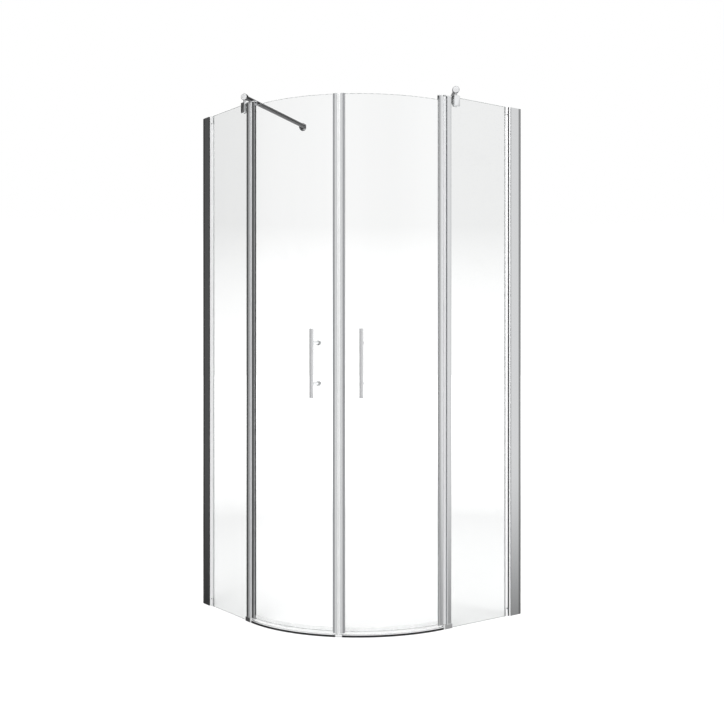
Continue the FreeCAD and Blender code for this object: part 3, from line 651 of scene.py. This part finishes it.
def curve_sweep(curve, section, start, end, steps=SWEEP_STEPS):
    """Spin a closed section of (offset, height) points along the left door's curve."""
    bm = bmesh.new()
    axis = curve_axis(curve)
    spoke = spoke_at(start / curve.radius - math.pi / 2)
    points = [spoke * (curve.radius + offset) + UP * height for offset, height in section]
    chain = [bm.verts.new(axis + point) for point in points]
    face = bm.faces.new(chain)
    bmesh.ops.spin(
        bm,
        geom=chain + face.edges[:] + [face],
        cent=axis,
        axis=(0, 0, 1),
        angle=(end - start) / curve.radius,
        steps=steps,
    )
    bmesh.ops.recalc_face_normals(bm, faces=bm.faces[:])
    return bm


def hole_ring(bm, curve, spoke, skin, height):
    """The edges of a round hole in one skin of the curved pane."""
    axis = curve_axis(curve)
    verts = bmesh.ops.create_circle(bm, segments=HOLE_SEGMENTS, radius=curve.hole_radius)["verts"]
    place = Matrix.Translation(axis + spoke * skin + UP * height) @ turn_to(spoke)
    bmesh.ops.transform(bm, matrix=place, verts=verts)
    for vert in verts:
        out = Vector((vert.co.x - axis.x, vert.co.y - axis.y, 0)).normalized() * skin
        vert.co = Vector((axis.x + out.x, axis.y + out.y, vert.co.z))
    return edges_of(verts)


def drill_pane(bm, curve, angle, heights):
    """Open a round hole through the curved pane at an angle and each height."""
    axis, spoke = curve_axis(curve), spoke_at(angle)
    reach = curve.patch_half / curve.radius
    for turn in (angle - reach, angle + reach):
        cut_at(bm, curve, turn)
    for height in heights:
        for level in (height - curve.patch_half, height + curve.patch_half):
            cut_across(bm, UP * level, UP)

    def in_patch(face, height):
        middle = face.calc_center_median()
        out = (middle - axis).xy
        near = abs(math.atan2(out.y, out.x) - angle) < reach
        return near and abs(middle.z - height) < curve.patch_half

    def reach_of(edge):
        return ((edge.verts[0].co + edge.verts[1].co) / 2 - axis).xy.length

    for height in heights:
        skins = [face for face in bm.faces if abs(face.normal.dot(spoke)) > 0.9]
        patch = [face for face in skins if in_patch(face, height)]
        bmesh.ops.delete(bm, geom=patch, context="FACES")
        border = [edge for edge in bm.edges if edge.is_boundary]
        rings = []
        for skin in (curve.radius - curve.glass_half, curve.radius + curve.glass_half):
            ring = hole_ring(bm, curve, spoke, skin, height)
            near = [edge for edge in border if abs(reach_of(edge) - skin) < curve.glass_half / 2]
            bmesh.ops.bridge_loops(bm, edges=near + ring)
            rings += ring
        bmesh.ops.bridge_loops(bm, edges=rings)
    bmesh.ops.recalc_face_normals(bm, faces=bm.faces[:])


def to_side(bm, side):
    """Mirror what was made for the left side if it is for the right one."""
    if side == "right":
        bmesh.ops.transform(bm, matrix=MIRROR, verts=bm.verts[:])
        bmesh.ops.reverse_faces(bm, faces=bm.faces[:])


def as_left(face, side):
    """Middle and normal of a face, mirrored to the left side if it is on the right one."""
    if side == "right":
        return MIRROR @ face.center, MIRROR.to_3x3() @ face.normal
    return face.center, face.normal


def solids_of(node):
    """The lowest and highest corners of each separate solid of a node."""
    bm = merged_copy(node)
    left = set(bm.verts)
    boxes = []
    while left:
        queue = [left.pop()]
        found = list(queue)
        while queue:
            for edge in queue.pop().link_edges:
                for vert in left.intersection(edge.verts):
                    left.discard(vert)
                    found.append(vert)
                    queue.append(vert)
        low = Vector([min(vert.co[k] for vert in found) for k in range(3)])
        high = Vector([max(vert.co[k] for vert in found) for k in range(3)])
        boxes.append((low, high))
    bm.free()
    return sorted(boxes, key=lambda box: tuple(box[0]))


# ---- operators

# Radii on soft, plastic and small metal edges.
SOFT_EDGE, WASHER_EDGE, PIN_EDGE = 0.2 * MM, 0.25 * MM, 0.3 * MM
SILL_EDGE, CAP_EDGE = 0.4 * MM, 0.5 * MM
# Degrees above which the edges of the wall profile and of the neck are shaded sharp.
WALL_SHARP, NECK_SHARP = 4, 20
FACET_MERGE = 1e-6
# How near its outer faces a point of the wall profile moves with the facet.
FACET_SKIN = 1.2 * MM
# Where the neck's black strip of painted shadow runs, from the channel's lips: the left one starts
# inside it.
LEFT_SHADOW_STRIP_START = -2.5 * MM
RIGHT_SHADOW_STRIP = (7 * MM, 13.5 * MM)
# Outline of a button-head screw: (share of its radius, distance from its face in mm).
BUTTON_HEAD = ((0.62, 0), (0.86, -0.35), (0.98, -0.9), (1, -1.5), (1, -2.2), (0.5, -2.2))
# Screws above this radius have a button head, and the others are grub screws.
GRUB_RADIUS = 3 * MM
SOCKET_ACROSS, BUTTON_SOCKET, GRUB_SOCKET = 2.5 * MM, 1.3 * MM, 1.6 * MM
# What lies this near the hinge's axis is the knuckle, which gets a painted highlight, and the end
# of the left strips, which is painted dark as shade.
KNUCKLE_REACH = 9 * MM
PAINTED_SHADE_REACH = 90 * MM
# Section of the threshold: its foot inwards and outwards from the middle of the glass, its
# height, the round shoulder outside, the flat top and the height of its inner edge.
SILL_IN, SILL_OUT, SILL_TOP = 11 * MM, 8.5 * MM, 10 * MM
SILL_SHOULDER, SILL_FLAT, SILL_LOW = 6 * MM, 4 * MM, 2.5 * MM
SHOULDER_STEPS, JOINT_STEPS = 8, 6
JOINT_GAP = 0.1 * MM
# Height of the black foot along the threshold's outside: a painted contact shadow.
SHADOW_FOOT_HEIGHT = 7 * MM
# Section of the clip under the glass with its lip leaning inwards: (offset, height) in mm.
DRIP_SEAL = (
    *((4.5, 18.3), (4.5, 34), (3.1, 34), (3.1, 19.9), (-3.1, 19.9), (-3.1, 34), (-4.5, 34)),
    *((-4.5, 18.3), (-6.1, 11), (-4.9, 11), (-0.9, 18.3)),
)
# Outline of a handle bar's end: (share of its radius, distance from the end in mm).
BAR_END = (
    *((0, 0), (0.80, 0), (0.91, 0.12), (0.975, 0.45), (1, 1.1)),
    *((1, 5), (0.95, 5.15), (0.95, 5.45), (1, 5.6)),
)
# Outline of an inner nut, as (radius, distance) in mm: its dished face, one groove and where
# the grooves start, and its back with the root of the stud.
NUT_FACE = ((0, 0.7), (5.2, 0.7), (5.9, 0), (7.3, 0), (8.4, 0.4), (9, 1.7))
NUT_GROOVE = ((9, 0), (8.6, 0.25), (8.6, 0.75), (9, 1))
NUT_GROOVES = (4.2, 7.0, 9.8)
NUT_BACK = ((9, 13.3), (8.5, 14), (3, 14))


class ShowerPieceOperator:
    bl_options = {"REGISTER", "UNDO"}

    def execute(self, context):
        for side in SIDES:
            self.build(context, side)
        return {"FINISHED"}


class SHOWER_OT_panes(ShowerPieceOperator, bpy.types.Operator):
    """Give the flat panes and the curved panes ground edges, and the curved ones their holes"""

    bl_idname = "shower.panes"
    bl_label = "Glass panes"

    def build(self, context, side):
        arris = context.scene.shower_glass.arris
        curve = context.scene.shower_curve
        flat = edged_piece(f"{side}_fixed_glass", arris, 1, look=f"{side}_glass")
        node = f"{side}_door_glass"
        low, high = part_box(node)
        half = curve.glass_half
        section = [(-half, low.z), (half, low.z), (half, high.z), (-half, high.z)]
        bm = curve_sweep(curve, section, curve.pane_start, curve.pane_end)
        middle = middle_of("left_handle_bar") - curve_axis(curve)
        knobs = [(box[0].z + box[1].z) / 2 for box in solids_of("left_handle_knobs")]
        drill_pane(bm, curve, math.atan2(middle.y, middle.x), sorted(knobs))
        to_side(bm, side)
        bent = stand_in(bm, node, "bent", "door_glass")
        break_edges(bent, arris, 1)
        for piece in (flat, bent):
            mark_faces(piece, "glass_edge", lambda face: abs(face.normal.z) > 0.7)


class SHOWER_OT_wall_side(ShowerPieceOperator, bpy.types.Operator):
    """Finish the wall profiles, the adjusting profiles, their screws and the glazing strips"""

    bl_idname = "shower.wall_side"
    bl_label = "Wall profiles"

    def build(self, context, side):
        metal = context.scene.shower_metal
        self.wall_profile(metal, side)
        self.adjusting_profile(metal, side)
        edged_piece(f"{side}_fixed_glass_gaskets", SOFT_EDGE, look="pale_gasket")
        self.screws(side)

    def wall_profile(self, metal, side):
        """The channel with a shallow facet next to the wall, its lips painted black as shadow, and
        a satin back.
        """
        node = f"{side}_wall_profile"
        out, away = OUTWARDS[side], FROM_WALL[side]
        low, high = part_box(node)
        middle = (low + high) / 2
        start = min(low.dot(away), high.dot(away))
        half = abs((high - low).dot(out)) / 2
        bm = merged_copy(node)
        cut_across(bm, away * (start + metal.facet_width), away, FACET_MERGE)
        slope = math.tan(metal.facet_turn)
        for vert in bm.verts:
            proud = (vert.co - middle).dot(out)
            depth = start + metal.facet_width - vert.co.dot(away)
            if depth > 0 and abs(proud) > half - FACET_SKIN:
                vert.co -= out * math.copysign(depth * slope, proud)
        piece = stand_in(bm, node, "finished", "polished_aluminium", WALL_SHARP)
        # The lips that face away from the wall are painted black: painted shadow in the gap by the
        # neck.
        mark_faces(piece, "black_strip", lambda face: face.normal.dot(away) > 0.9)
        mark_faces(piece, "satin_aluminium", lambda face: face.normal.dot(away) < -0.9)
        break_edges(piece, metal.profile_edge)

    def adjusting_profile(self, metal, side):
        """The pale neck with its black strip of painted shadow, which is further out on the right.
        """
        node = f"{side}_adjusting_profile"
        out, away = OUTWARDS[side], FROM_WALL[side]
        low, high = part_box(f"{side}_wall_profile")
        lips = max(low.dot(away), high.dot(away))
        middle = ((low + high) / 2).dot(out)
        strip = (LEFT_SHADOW_STRIP_START, metal.shadow_strip_width) if side == "left" else RIGHT_SHADOW_STRIP
        bm = merged_copy(node)
        for start in strip:
            cut_across(bm, away * (lips + start), away)
        piece = stand_in(bm, node, "finished", "satin_aluminium", NECK_SHARP)

        def in_shadow_strip(face):
            along = face.center.dot(away) - lips
            proud = abs(face.center.dot(out) - middle)
            return strip[0] < along < strip[1] and proud > metal.shadow_strip_start

        # These neck faces are painted black: painted shadow next to the channel.
        mark_faces(piece, "black_strip", in_shadow_strip)
        break_edges(piece, metal.profile_edge)

    def screws(self, side):
        """Button-head screws inside the shower and black grub screws in the neck."""
        node = f"{side}_adjusting_screws"
        out = OUTWARDS[side]
        bm = bmesh.new()
        for low, high in solids_of(node):
            middle = (low + high) / 2
            length = abs((high - low).dot(out))
            radius = (high.z - low.z) / 2
            if radius > GRUB_RADIUS:
                face = middle - out * (length / 2)
                outline = [(share * radius, along * MM) for share, along in BUTTON_HEAD]
                outline.append((radius * BUTTON_HEAD[-1][0], -length))
                socket_screw(bm, outline, face, -out, SOCKET_ACROSS, BUTTON_SOCKET)
            else:
                face = middle + out * (length / 2)
                outline = [(radius * 0.86, 0), (radius, -0.35 * MM), (radius, -length)]
                socket_screw(bm, outline, face, out, SOCKET_ACROSS, GRUB_SOCKET)
        stand_in(bm, node, "turned", "black_steel")


class SHOWER_OT_hinges(ShowerPieceOperator, bpy.types.Operator):
    """Finish the hinge posts, their heads and feet, the pins, the bushes and the door profiles"""

    bl_idname = "shower.hinges"
    bl_label = "Hinges"

    def build(self, context, side):
        metal = context.scene.shower_metal
        for name in ("hinge_post", "pivot_head"):
            edged_piece(f"{side}_{name}", metal.profile_edge)
        edged_piece(f"{side}_pivot_foot", metal.profile_edge, 3, look="bright_threshold")
        profile = edged_piece(f"{side}_door_hinge_profile", metal.profile_edge)
        axis = middle_of(f"{side}_hinge_bushes")

        def within(reach):
            return lambda face: (face.center - axis).xy.length < reach

        # The knuckle's faces get a paler satin: a painted highlight.
        mark_faces(profile, "knuckle_satin", within(KNUCKLE_REACH))
        edged_piece(f"{side}_pivot_pins", PIN_EDGE)
        edged_piece(f"{side}_hinge_bushes", SOFT_EDGE)
        edged_piece(f"{side}_door_end_caps", CAP_EDGE)
        strips = edged_piece(f"{side}_door_glass_gaskets", SOFT_EDGE, look="grey_gasket")
        # The left gaskets near the hinge are painted dark: painted shade.
        if side == "left":
            mark_faces(strips, "dark_gasket", within(PAINTED_SHADE_REACH))


class SHOWER_OT_closing_edges(ShowerPieceOperator, bpy.types.Operator):
    """Finish the closing profiles and their magnetic seals"""

    bl_idname = "shower.closing_edges"
    bl_label = "Closing edges"

    def build(self, context, side):
        metal, curve = context.scene.shower_metal, context.scene.shower_curve
        axis = curve_axis(curve)
        node = f"{side}_closing_profile"
        bm = merged_copy(node)
        to_side(bm, side)
        inner = min(math.atan2(vert.co.y - axis.y, vert.co.x - axis.x) for vert in bm.verts)
        turn = inner + metal.shade_lip_width / curve.radius
        cut_at(bm, curve, turn)
        to_side(bm, side)
        piece = stand_in(bm, node, "finished", "bright_aluminium")

        def in_shade_lip(face):
            middle, normal = as_left(face, side)
            out = (middle - axis).xy
            near = math.atan2(out.y, out.x) < turn
            return near and out.length > curve.radius and normal.xy.dot(out.normalized()) > 0.2

        # The outer faces of the lip are painted grey: painted shade.
        mark_faces(piece, "grey_lip", in_shade_lip)
        break_edges(piece, metal.profile_edge)
        edged_piece(f"{side}_magnet_seal", PIN_EDGE, look="magnet_seal")


class SHOWER_OT_threshold(bpy.types.Operator):
    """Finish the threshold with its joint and the drip seals over it"""

    bl_idname = "shower.threshold"
    bl_label = "Threshold and drip seals"
    bl_options = {"REGISTER", "UNDO"}

    def execute(self, context):
        curve = context.scene.shower_curve
        seam = curve.radius * math.pi / 4
        drip = [(out * MM, height * MM) for out, height in DRIP_SEAL]
        for side in SIDES:
            end = seam - curve.joint_half - JOINT_GAP
            bm = curve_sweep(curve, self.sill(0), curve.sill_start, end)
            to_side(bm, side)
            piece = stand_in(bm, f"{side}_threshold", "bent", "bright_threshold")
            # The foot along the outside is painted black: a painted contact shadow.
            mark_faces(piece, "black_strip", lambda face: self.in_shadow_foot(curve, side, face))
            break_edges(piece, SILL_EDGE)
            bm = curve_sweep(curve, drip, curve.seal_start, curve.seal_end)
            to_side(bm, side)
            break_edges(stand_in(bm, f"{side}_drip_seal", "bent", "clear_seal"), SOFT_EDGE)
        start, end = seam - curve.joint_half, seam + curve.joint_half
        bm = curve_sweep(curve, self.sill(curve.joint_proud), start, end, JOINT_STEPS)
        break_edges(stand_in(bm, "threshold_joint", "bent", "bright_threshold"), PIN_EDGE)
        return {"FINISHED"}

    def sill(self, proud):
        """Section of the threshold: a slope inside, a flat top and a round shoulder outside."""
        outer, top = SILL_OUT + proud, SILL_TOP + proud
        flat = outer - SILL_SHOULDER
        points = [(-SILL_IN - proud, 0), (outer, 0)]
        for step in range(SHOULDER_STEPS + 1):
            turn = math.radians(90 * step / SHOULDER_STEPS)
            rise = top - SILL_SHOULDER + SILL_SHOULDER * math.sin(turn)
            points.append((flat + SILL_SHOULDER * math.cos(turn), rise))
        return points + [(flat - SILL_FLAT, top), (-SILL_IN - proud, SILL_LOW)]

    def in_shadow_foot(self, curve, side, face):
        """Whether a face is part of the black foot, a painted shadow, along the outside of the
        threshold.
        """
        middle, normal = as_left(face, side)
        out = (middle - curve_axis(curve)).xy.normalized()
        return middle.z < SHADOW_FOOT_HEIGHT and normal.xy.dot(out) > 0.45


class SHOWER_OT_handles(ShowerPieceOperator, bpy.types.Operator):
    """Finish the handles with their stand-offs, washers and inner nuts"""

    bl_idname = "shower.handles"
    bl_label = "Handles"

    def build(self, context, side):
        node = f"{side}_handle_bar"
        low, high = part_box(node)
        radius = (high.x - low.x) / 2
        length = high.z - low.z
        end = [(share * radius, along * MM) for share, along in BAR_END]
        outline = end + [(share, length - along) for share, along in reversed(end)]
        bm = bmesh.new()
        turned(bm, outline, Vector((*middle_of(node).xy, low.z)), UP)
        stand_in(bm, node, "turned", "brushed_chrome")
        edged_piece(f"{side}_handle_standoffs", context.scene.shower_metal.fitting_edge, 3)
        self.knobs(context.scene.shower_curve, side)
        edged_piece(f"{side}_handle_washers", WASHER_EDGE)

    def knobs(self, curve, side):
        """The round inner nuts, grooved for the fingers and dished at the end, on their studs."""
        axis = curve_axis(curve)
        spoke = Vector((*(middle_of("left_handle_bar") - axis).xy, 0)).normalized()
        reach = [(vert.co - axis).dot(spoke) for vert in NODES["left_handle_knobs"].data.vertices]
        length = (max(reach) - min(reach)) / MM
        grooves = [(radius, start + along) for start in NUT_GROOVES for radius, along in NUT_GROOVE]
        stud = [(3, length - 0.6), (2.5, length), (0, length)]
        outline = [*NUT_FACE, *grooves, *NUT_BACK, *stud]
        outline = [(radius * MM, along * MM) for radius, along in outline]
        bm = bmesh.new()
        for low, high in solids_of("left_handle_knobs"):
            height = (low.z + high.z) / 2
            turned(bm, outline, axis + spoke * min(reach) + UP * height, spoke)
        to_side(bm, side)
        stand_in(bm, f"{side}_handle_knobs", "turned", "chrome")


class SHOWER_OT_stabilisers(ShowerPieceOperator, bpy.types.Operator):
    """Finish the stabiliser bars with their glass clamps, heads, eyes and wall brackets"""

    bl_idname = "shower.stabilisers"
    bl_label = "Stabiliser bars"

    def build(self, context, side):
        edge = context.scene.shower_metal.fitting_edge
        edged_piece(f"{side}_glass_clamp", edge, 3)
        # Bars, eyes, brackets and heads get chrome painted dark: painted shade.
        for name in ("stabiliser_bar", "stabiliser_eye", "wall_bracket"):
            edged_piece(f"{side}_{name}", edge, 3, look="dark_chrome")
        head = edged_piece(f"{side}_stabiliser_head", edge, 3, look="dark_chrome")
        low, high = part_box(f"{side}_stabiliser_bar")
        along = Vector((high.x - low.x, high.y - low.y, 0)).normalized()
        facing = Vector((along.x, -along.y, 0))
        # The disc face is a paler copy of the head's chrome: painted highlight.
        mark_faces(head, "disc_chrome", lambda face: face.normal.dot(facing) > 0.9)
        edged_piece(f"{side}_clamp_pads", SOFT_EDGE)
        edged_piece(f"{side}_stabiliser_fasteners", PIN_EDGE)


# ---- stage

FLOOR_RADIUS, FLOOR_DROP = 40, 0.2 * MM
# The floor's own glow near the object and far from it, and where each holds (1 / distance).
FLOOR_LIFT_NEAR, FLOOR_LIFT_FAR = 0.30, 0.95
FLOOR_NEAR, FLOOR_FAR = 0.42, 0.05
# What polished metal mirrors round the studio: (compass direction in degrees, brightness).
SURROUND = (
    *((-180, 0.36), (-172, 0.06), (-163, 0.001), (-157, 0.06), (-153, 0.085), (-149, 0.20)),
    *((-144, 0.18), (-138, 0.09), (-126, 0.13), (-108, 0.20), (-88, 0.30), (-72, 0.50)),
    *((-54, 0.86), (-40, 0.62), (-26, 0.34), (-8, 0.22), (6, 0.50), (20, 0.82), (34, 1.04)),
    *((39, 1.0), (45, 0.78), (62, 0.14), (95, 0.24), (125, 0.50), (150, 0.56), (180, 0.36)),
)
# Directions in the studio: the bright panel, across, before the object and behind it.
PANEL, ACROSS = (0.588, -0.809, 0), (0.707, 0.707, 0)
FRONT, BEHIND = (0.80, -0.60, 0), (-0.777, 0.585, 0.235)
# Brightness of what is seen low down, and of what is mirrored under foot, above and as floor.
SEEN_LOW, MIRRORED_LOW, MIRRORED_HIGH, MIRRORED_FLOOR = 1.28, 0.08, 1.1, 0.74
SOFT_LIGHT = 0.75
# Name, place, what it faces, width and height, and share of the main lamp's power.
LAMPS = (
    ("stage_key", (2.6, -3.4, 3.4), (0, 0, 0.9), (2.4, 2.4), 1.0),
    ("stage_fill", (3.6, 1.8, 2.6), (0, 0, 1.0), (2.0, 2.6), 0.5),
    ("stage_top", (0.2, -0.2, 4.2), (0, 0, 0), (3.0, 3.0), 0.5),
)
SENSOR_WIDTH, CAMERA_SHIFT, CLIP_END = 36, (-0.0417, -0.01545), 200


def floor_material(tone):
    """Pale floor that is seen as white, brighter far away, and keeps the object's soft shadow."""
    values = {"Base Color": (tone, tone, tone, 1), "Roughness": 0.9, "Specular IOR Level": 0.0}
    values["Emission Color"] = (1, 1, 1, 1)
    material, tree, shader = new_material("stage_floor", values)
    near = maths(tree, "DIVIDE", 1.0, vector_maths(tree, "LENGTH", object_place(tree))["Value"])
    lifts = FLOOR_LIFT_FAR, FLOOR_LIFT_NEAR
    rise = spread(tree, near, FLOOR_FAR, FLOOR_NEAR, *lifts, smooth=False)
    feed(tree, shader, {"Emission Strength": maths(tree, "MULTIPLY", seen_rays(tree), rise)})
    return material


def mirrored_studio(tree, place, height):
    """Brightness of what metal mirrors, by direction."""

    def toward(direction):
        return vector_maths(tree, "DOT_PRODUCT", place, direction)["Value"]

    def both(first, second):
        return maths(tree, "MULTIPLY", first, second)

    split = add(tree, "SeparateXYZ", {"Vector": place}).outputs
    compass = maths(tree, "ARCTAN2", split["Y"], split["X"])
    turn = spread(tree, compass, -math.pi, math.pi, smooth=False)
    ramp = add(tree, "ValToRGB", {"Fac": turn})
    ramp.color_ramp.interpolation = "EASE"
    stops = ramp.color_ramp.elements
    stops[0].position, stops[1].position = 0.0, 1.0
    for degrees, _ in SURROUND[1:-1]:
        stops.new(degrees / 360 + 0.5)
    for stop, (_, value) in zip(stops, SURROUND):
        stop.color = (value, value, value, 1)
    panel = toward(PANEL)
    ahead = both(spread(tree, toward(FRONT), -0.85, -0.25), spread(tree, height, 0.28, 0.60))
    banded = blend(tree, ahead, ramp.outputs["Color"], MIRRORED_HIGH)
    lit = blend(tree, spread(tree, toward(BEHIND), 0.945, 0.965), banded, MIRRORED_HIGH)
    low = spread(tree, height, -0.34, -0.09, MIRRORED_LOW, 1.0)
    dimmed = blend(tree, spread(tree, panel, 0.88, 0.95), low, 1.0)
    before = spread(tree, maths(tree, "ABSOLUTE", panel), 0.25, 0.75)
    beside = spread(tree, maths(tree, "ABSOLUTE", toward(ACROSS)), 0.35, 0.65)
    near_glow = both(before, spread(tree, height, -0.16, -0.25))
    side_glow = both(beside, spread(tree, height, -0.26, -0.36))
    glowing = maths(tree, "MAXIMUM", near_glow, side_glow)
    return blend(tree, glowing, both(lit, dimmed), MIRRORED_FLOOR)


def studio_world():
    """White where it is seen, banded where it is mirrored, and a soft even light on the object."""
    world = bpy.data.worlds.new("Studio")
    world.use_nodes = True
    tree = world.node_tree
    tree.nodes.clear()

    def background(strength):
        values = {"Color": (1, 1, 1, 1), "Strength": strength}
        return add(tree, "Background", values).outputs["Background"]

    place = add(tree, "TexCoord").outputs["Generated"]
    height = add(tree, "SeparateXYZ", {"Vector": place}).outputs["Z"]
    climb = maths(tree, "POWER", spread(tree, height, 0.0, 0.118, smooth=False), 1.5)
    white = background(spread(tree, climb, 0.0, 1.0, SEEN_LOW, 1.0, smooth=False))
    mirrored = background(mirrored_studio(tree, place, height))
    glossy = add(tree, "LightPath").outputs["Is Glossy Ray"]
    by_gloss = mix_shaders(tree, glossy, background(SOFT_LIGHT), mirrored)
    by_view = mix_shaders(tree, seen_rays(tree), by_gloss, white)
    add(tree, "OutputWorld", {"Surface": by_view})
    return world


def soft_lamp(name, place, aim, size, power):
    data = bpy.data.lights.new(name, "AREA")
    data.shape = "RECTANGLE"
    data.size, data.size_y = size
    data.energy = power
    lamp = new_object(name, data)
    lamp.visible_glossy = False
    lamp.visible_transmission = False
    lamp.location = place
    lamp.rotation_euler = (Vector(aim) - Vector(place)).to_track_quat("-Z", "Y").to_euler()


class SHOWER_OT_stage(bpy.types.Operator):
    """Set the floor, the studio light and the camera at the photograph's place"""

    bl_idname = "shower.stage"
    bl_label = "Studio and camera"
    bl_options = {"REGISTER", "UNDO"}

    def execute(self, context):
        settings = context.scene.shower_stage
        bm = bmesh.new()
        bmesh.ops.create_circle(bm, cap_ends=True, segments=96, radius=FLOOR_RADIUS)
        bmesh.ops.translate(bm, verts=bm.verts, vec=(0, 0, -FLOOR_DROP))
        floor = mesh_object(bm, "stage_floor")
        floor.data.materials.append(floor_material(settings.floor_tone))
        floor.visible_glossy = False
        context.scene.world = studio_world()
        for *lamp, share in LAMPS:
            soft_lamp(*lamp, settings.lamp_power * share)
        data = bpy.data.cameras.new("photo_camera")
        data.lens = settings.lens
        data.sensor_width = SENSOR_WIDTH
        data.shift_x, data.shift_y = CAMERA_SHIFT
        data.clip_end = CLIP_END
        camera = new_object("photo_camera", data)
        camera.location = settings.camera_place
        camera.rotation_euler = (math.pi / 2, 0, settings.camera_turn)
        context.scene.camera = camera
        context.scene.view_settings.view_transform = "Standard"
        return {"FINISHED"}


class SHOWER_PT_sidebar(bpy.types.Panel):
    bl_idname = "SHOWER_PT_sidebar"
    bl_label = "Shower enclosure"
    bl_space_type = "VIEW_3D"
    bl_region_type = "UI"
    bl_category = "Shower"

    def draw(self, context):
        layout = self.layout
        for group in SETTINGS:
            values = getattr(context.scene, group)
            box = layout.box()
            for name in values.__annotations__:
                box.prop(values, name)
        for operator in OPERATORS:
            layout.operator(operator.bl_idname)


SETTINGS = {
    "shower_glass": ShowerGlassSettings,
    "shower_curve": ShowerCurveSettings,
    "shower_metal": ShowerMetalSettings,
    "shower_plastic": ShowerPlasticSettings,
    "shower_stage": ShowerStageSettings,
}
OPERATORS = (
    SHOWER_OT_stage,
    SHOWER_OT_panes,
    SHOWER_OT_wall_side,
    SHOWER_OT_hinges,
    SHOWER_OT_closing_edges,
    SHOWER_OT_threshold,
    SHOWER_OT_handles,
    SHOWER_OT_stabilisers,
)


def register():
    for made in (*SETTINGS.values(), *OPERATORS, SHOWER_PT_sidebar):
        bpy.utils.register_class(made)
    for name, group in SETTINGS.items():
        setattr(bpy.types.Scene, name, PointerProperty(type=group))


def unregister():
    for name in SETTINGS:
        delattr(bpy.types.Scene, name)
    for made in (SHOWER_PT_sidebar, *OPERATORS, *SETTINGS.values()):
        bpy.utils.unregister_class(made)


def main():
    register()
    bpy.ops.shower.stage()
    bpy.ops.shower.panes()
    bpy.ops.shower.wall_side()
    bpy.ops.shower.hinges()
    bpy.ops.shower.closing_edges()
    bpy.ops.shower.threshold()
    bpy.ops.shower.handles()
    bpy.ops.shower.stabilisers()


if __name__ == "__main__":
    main()
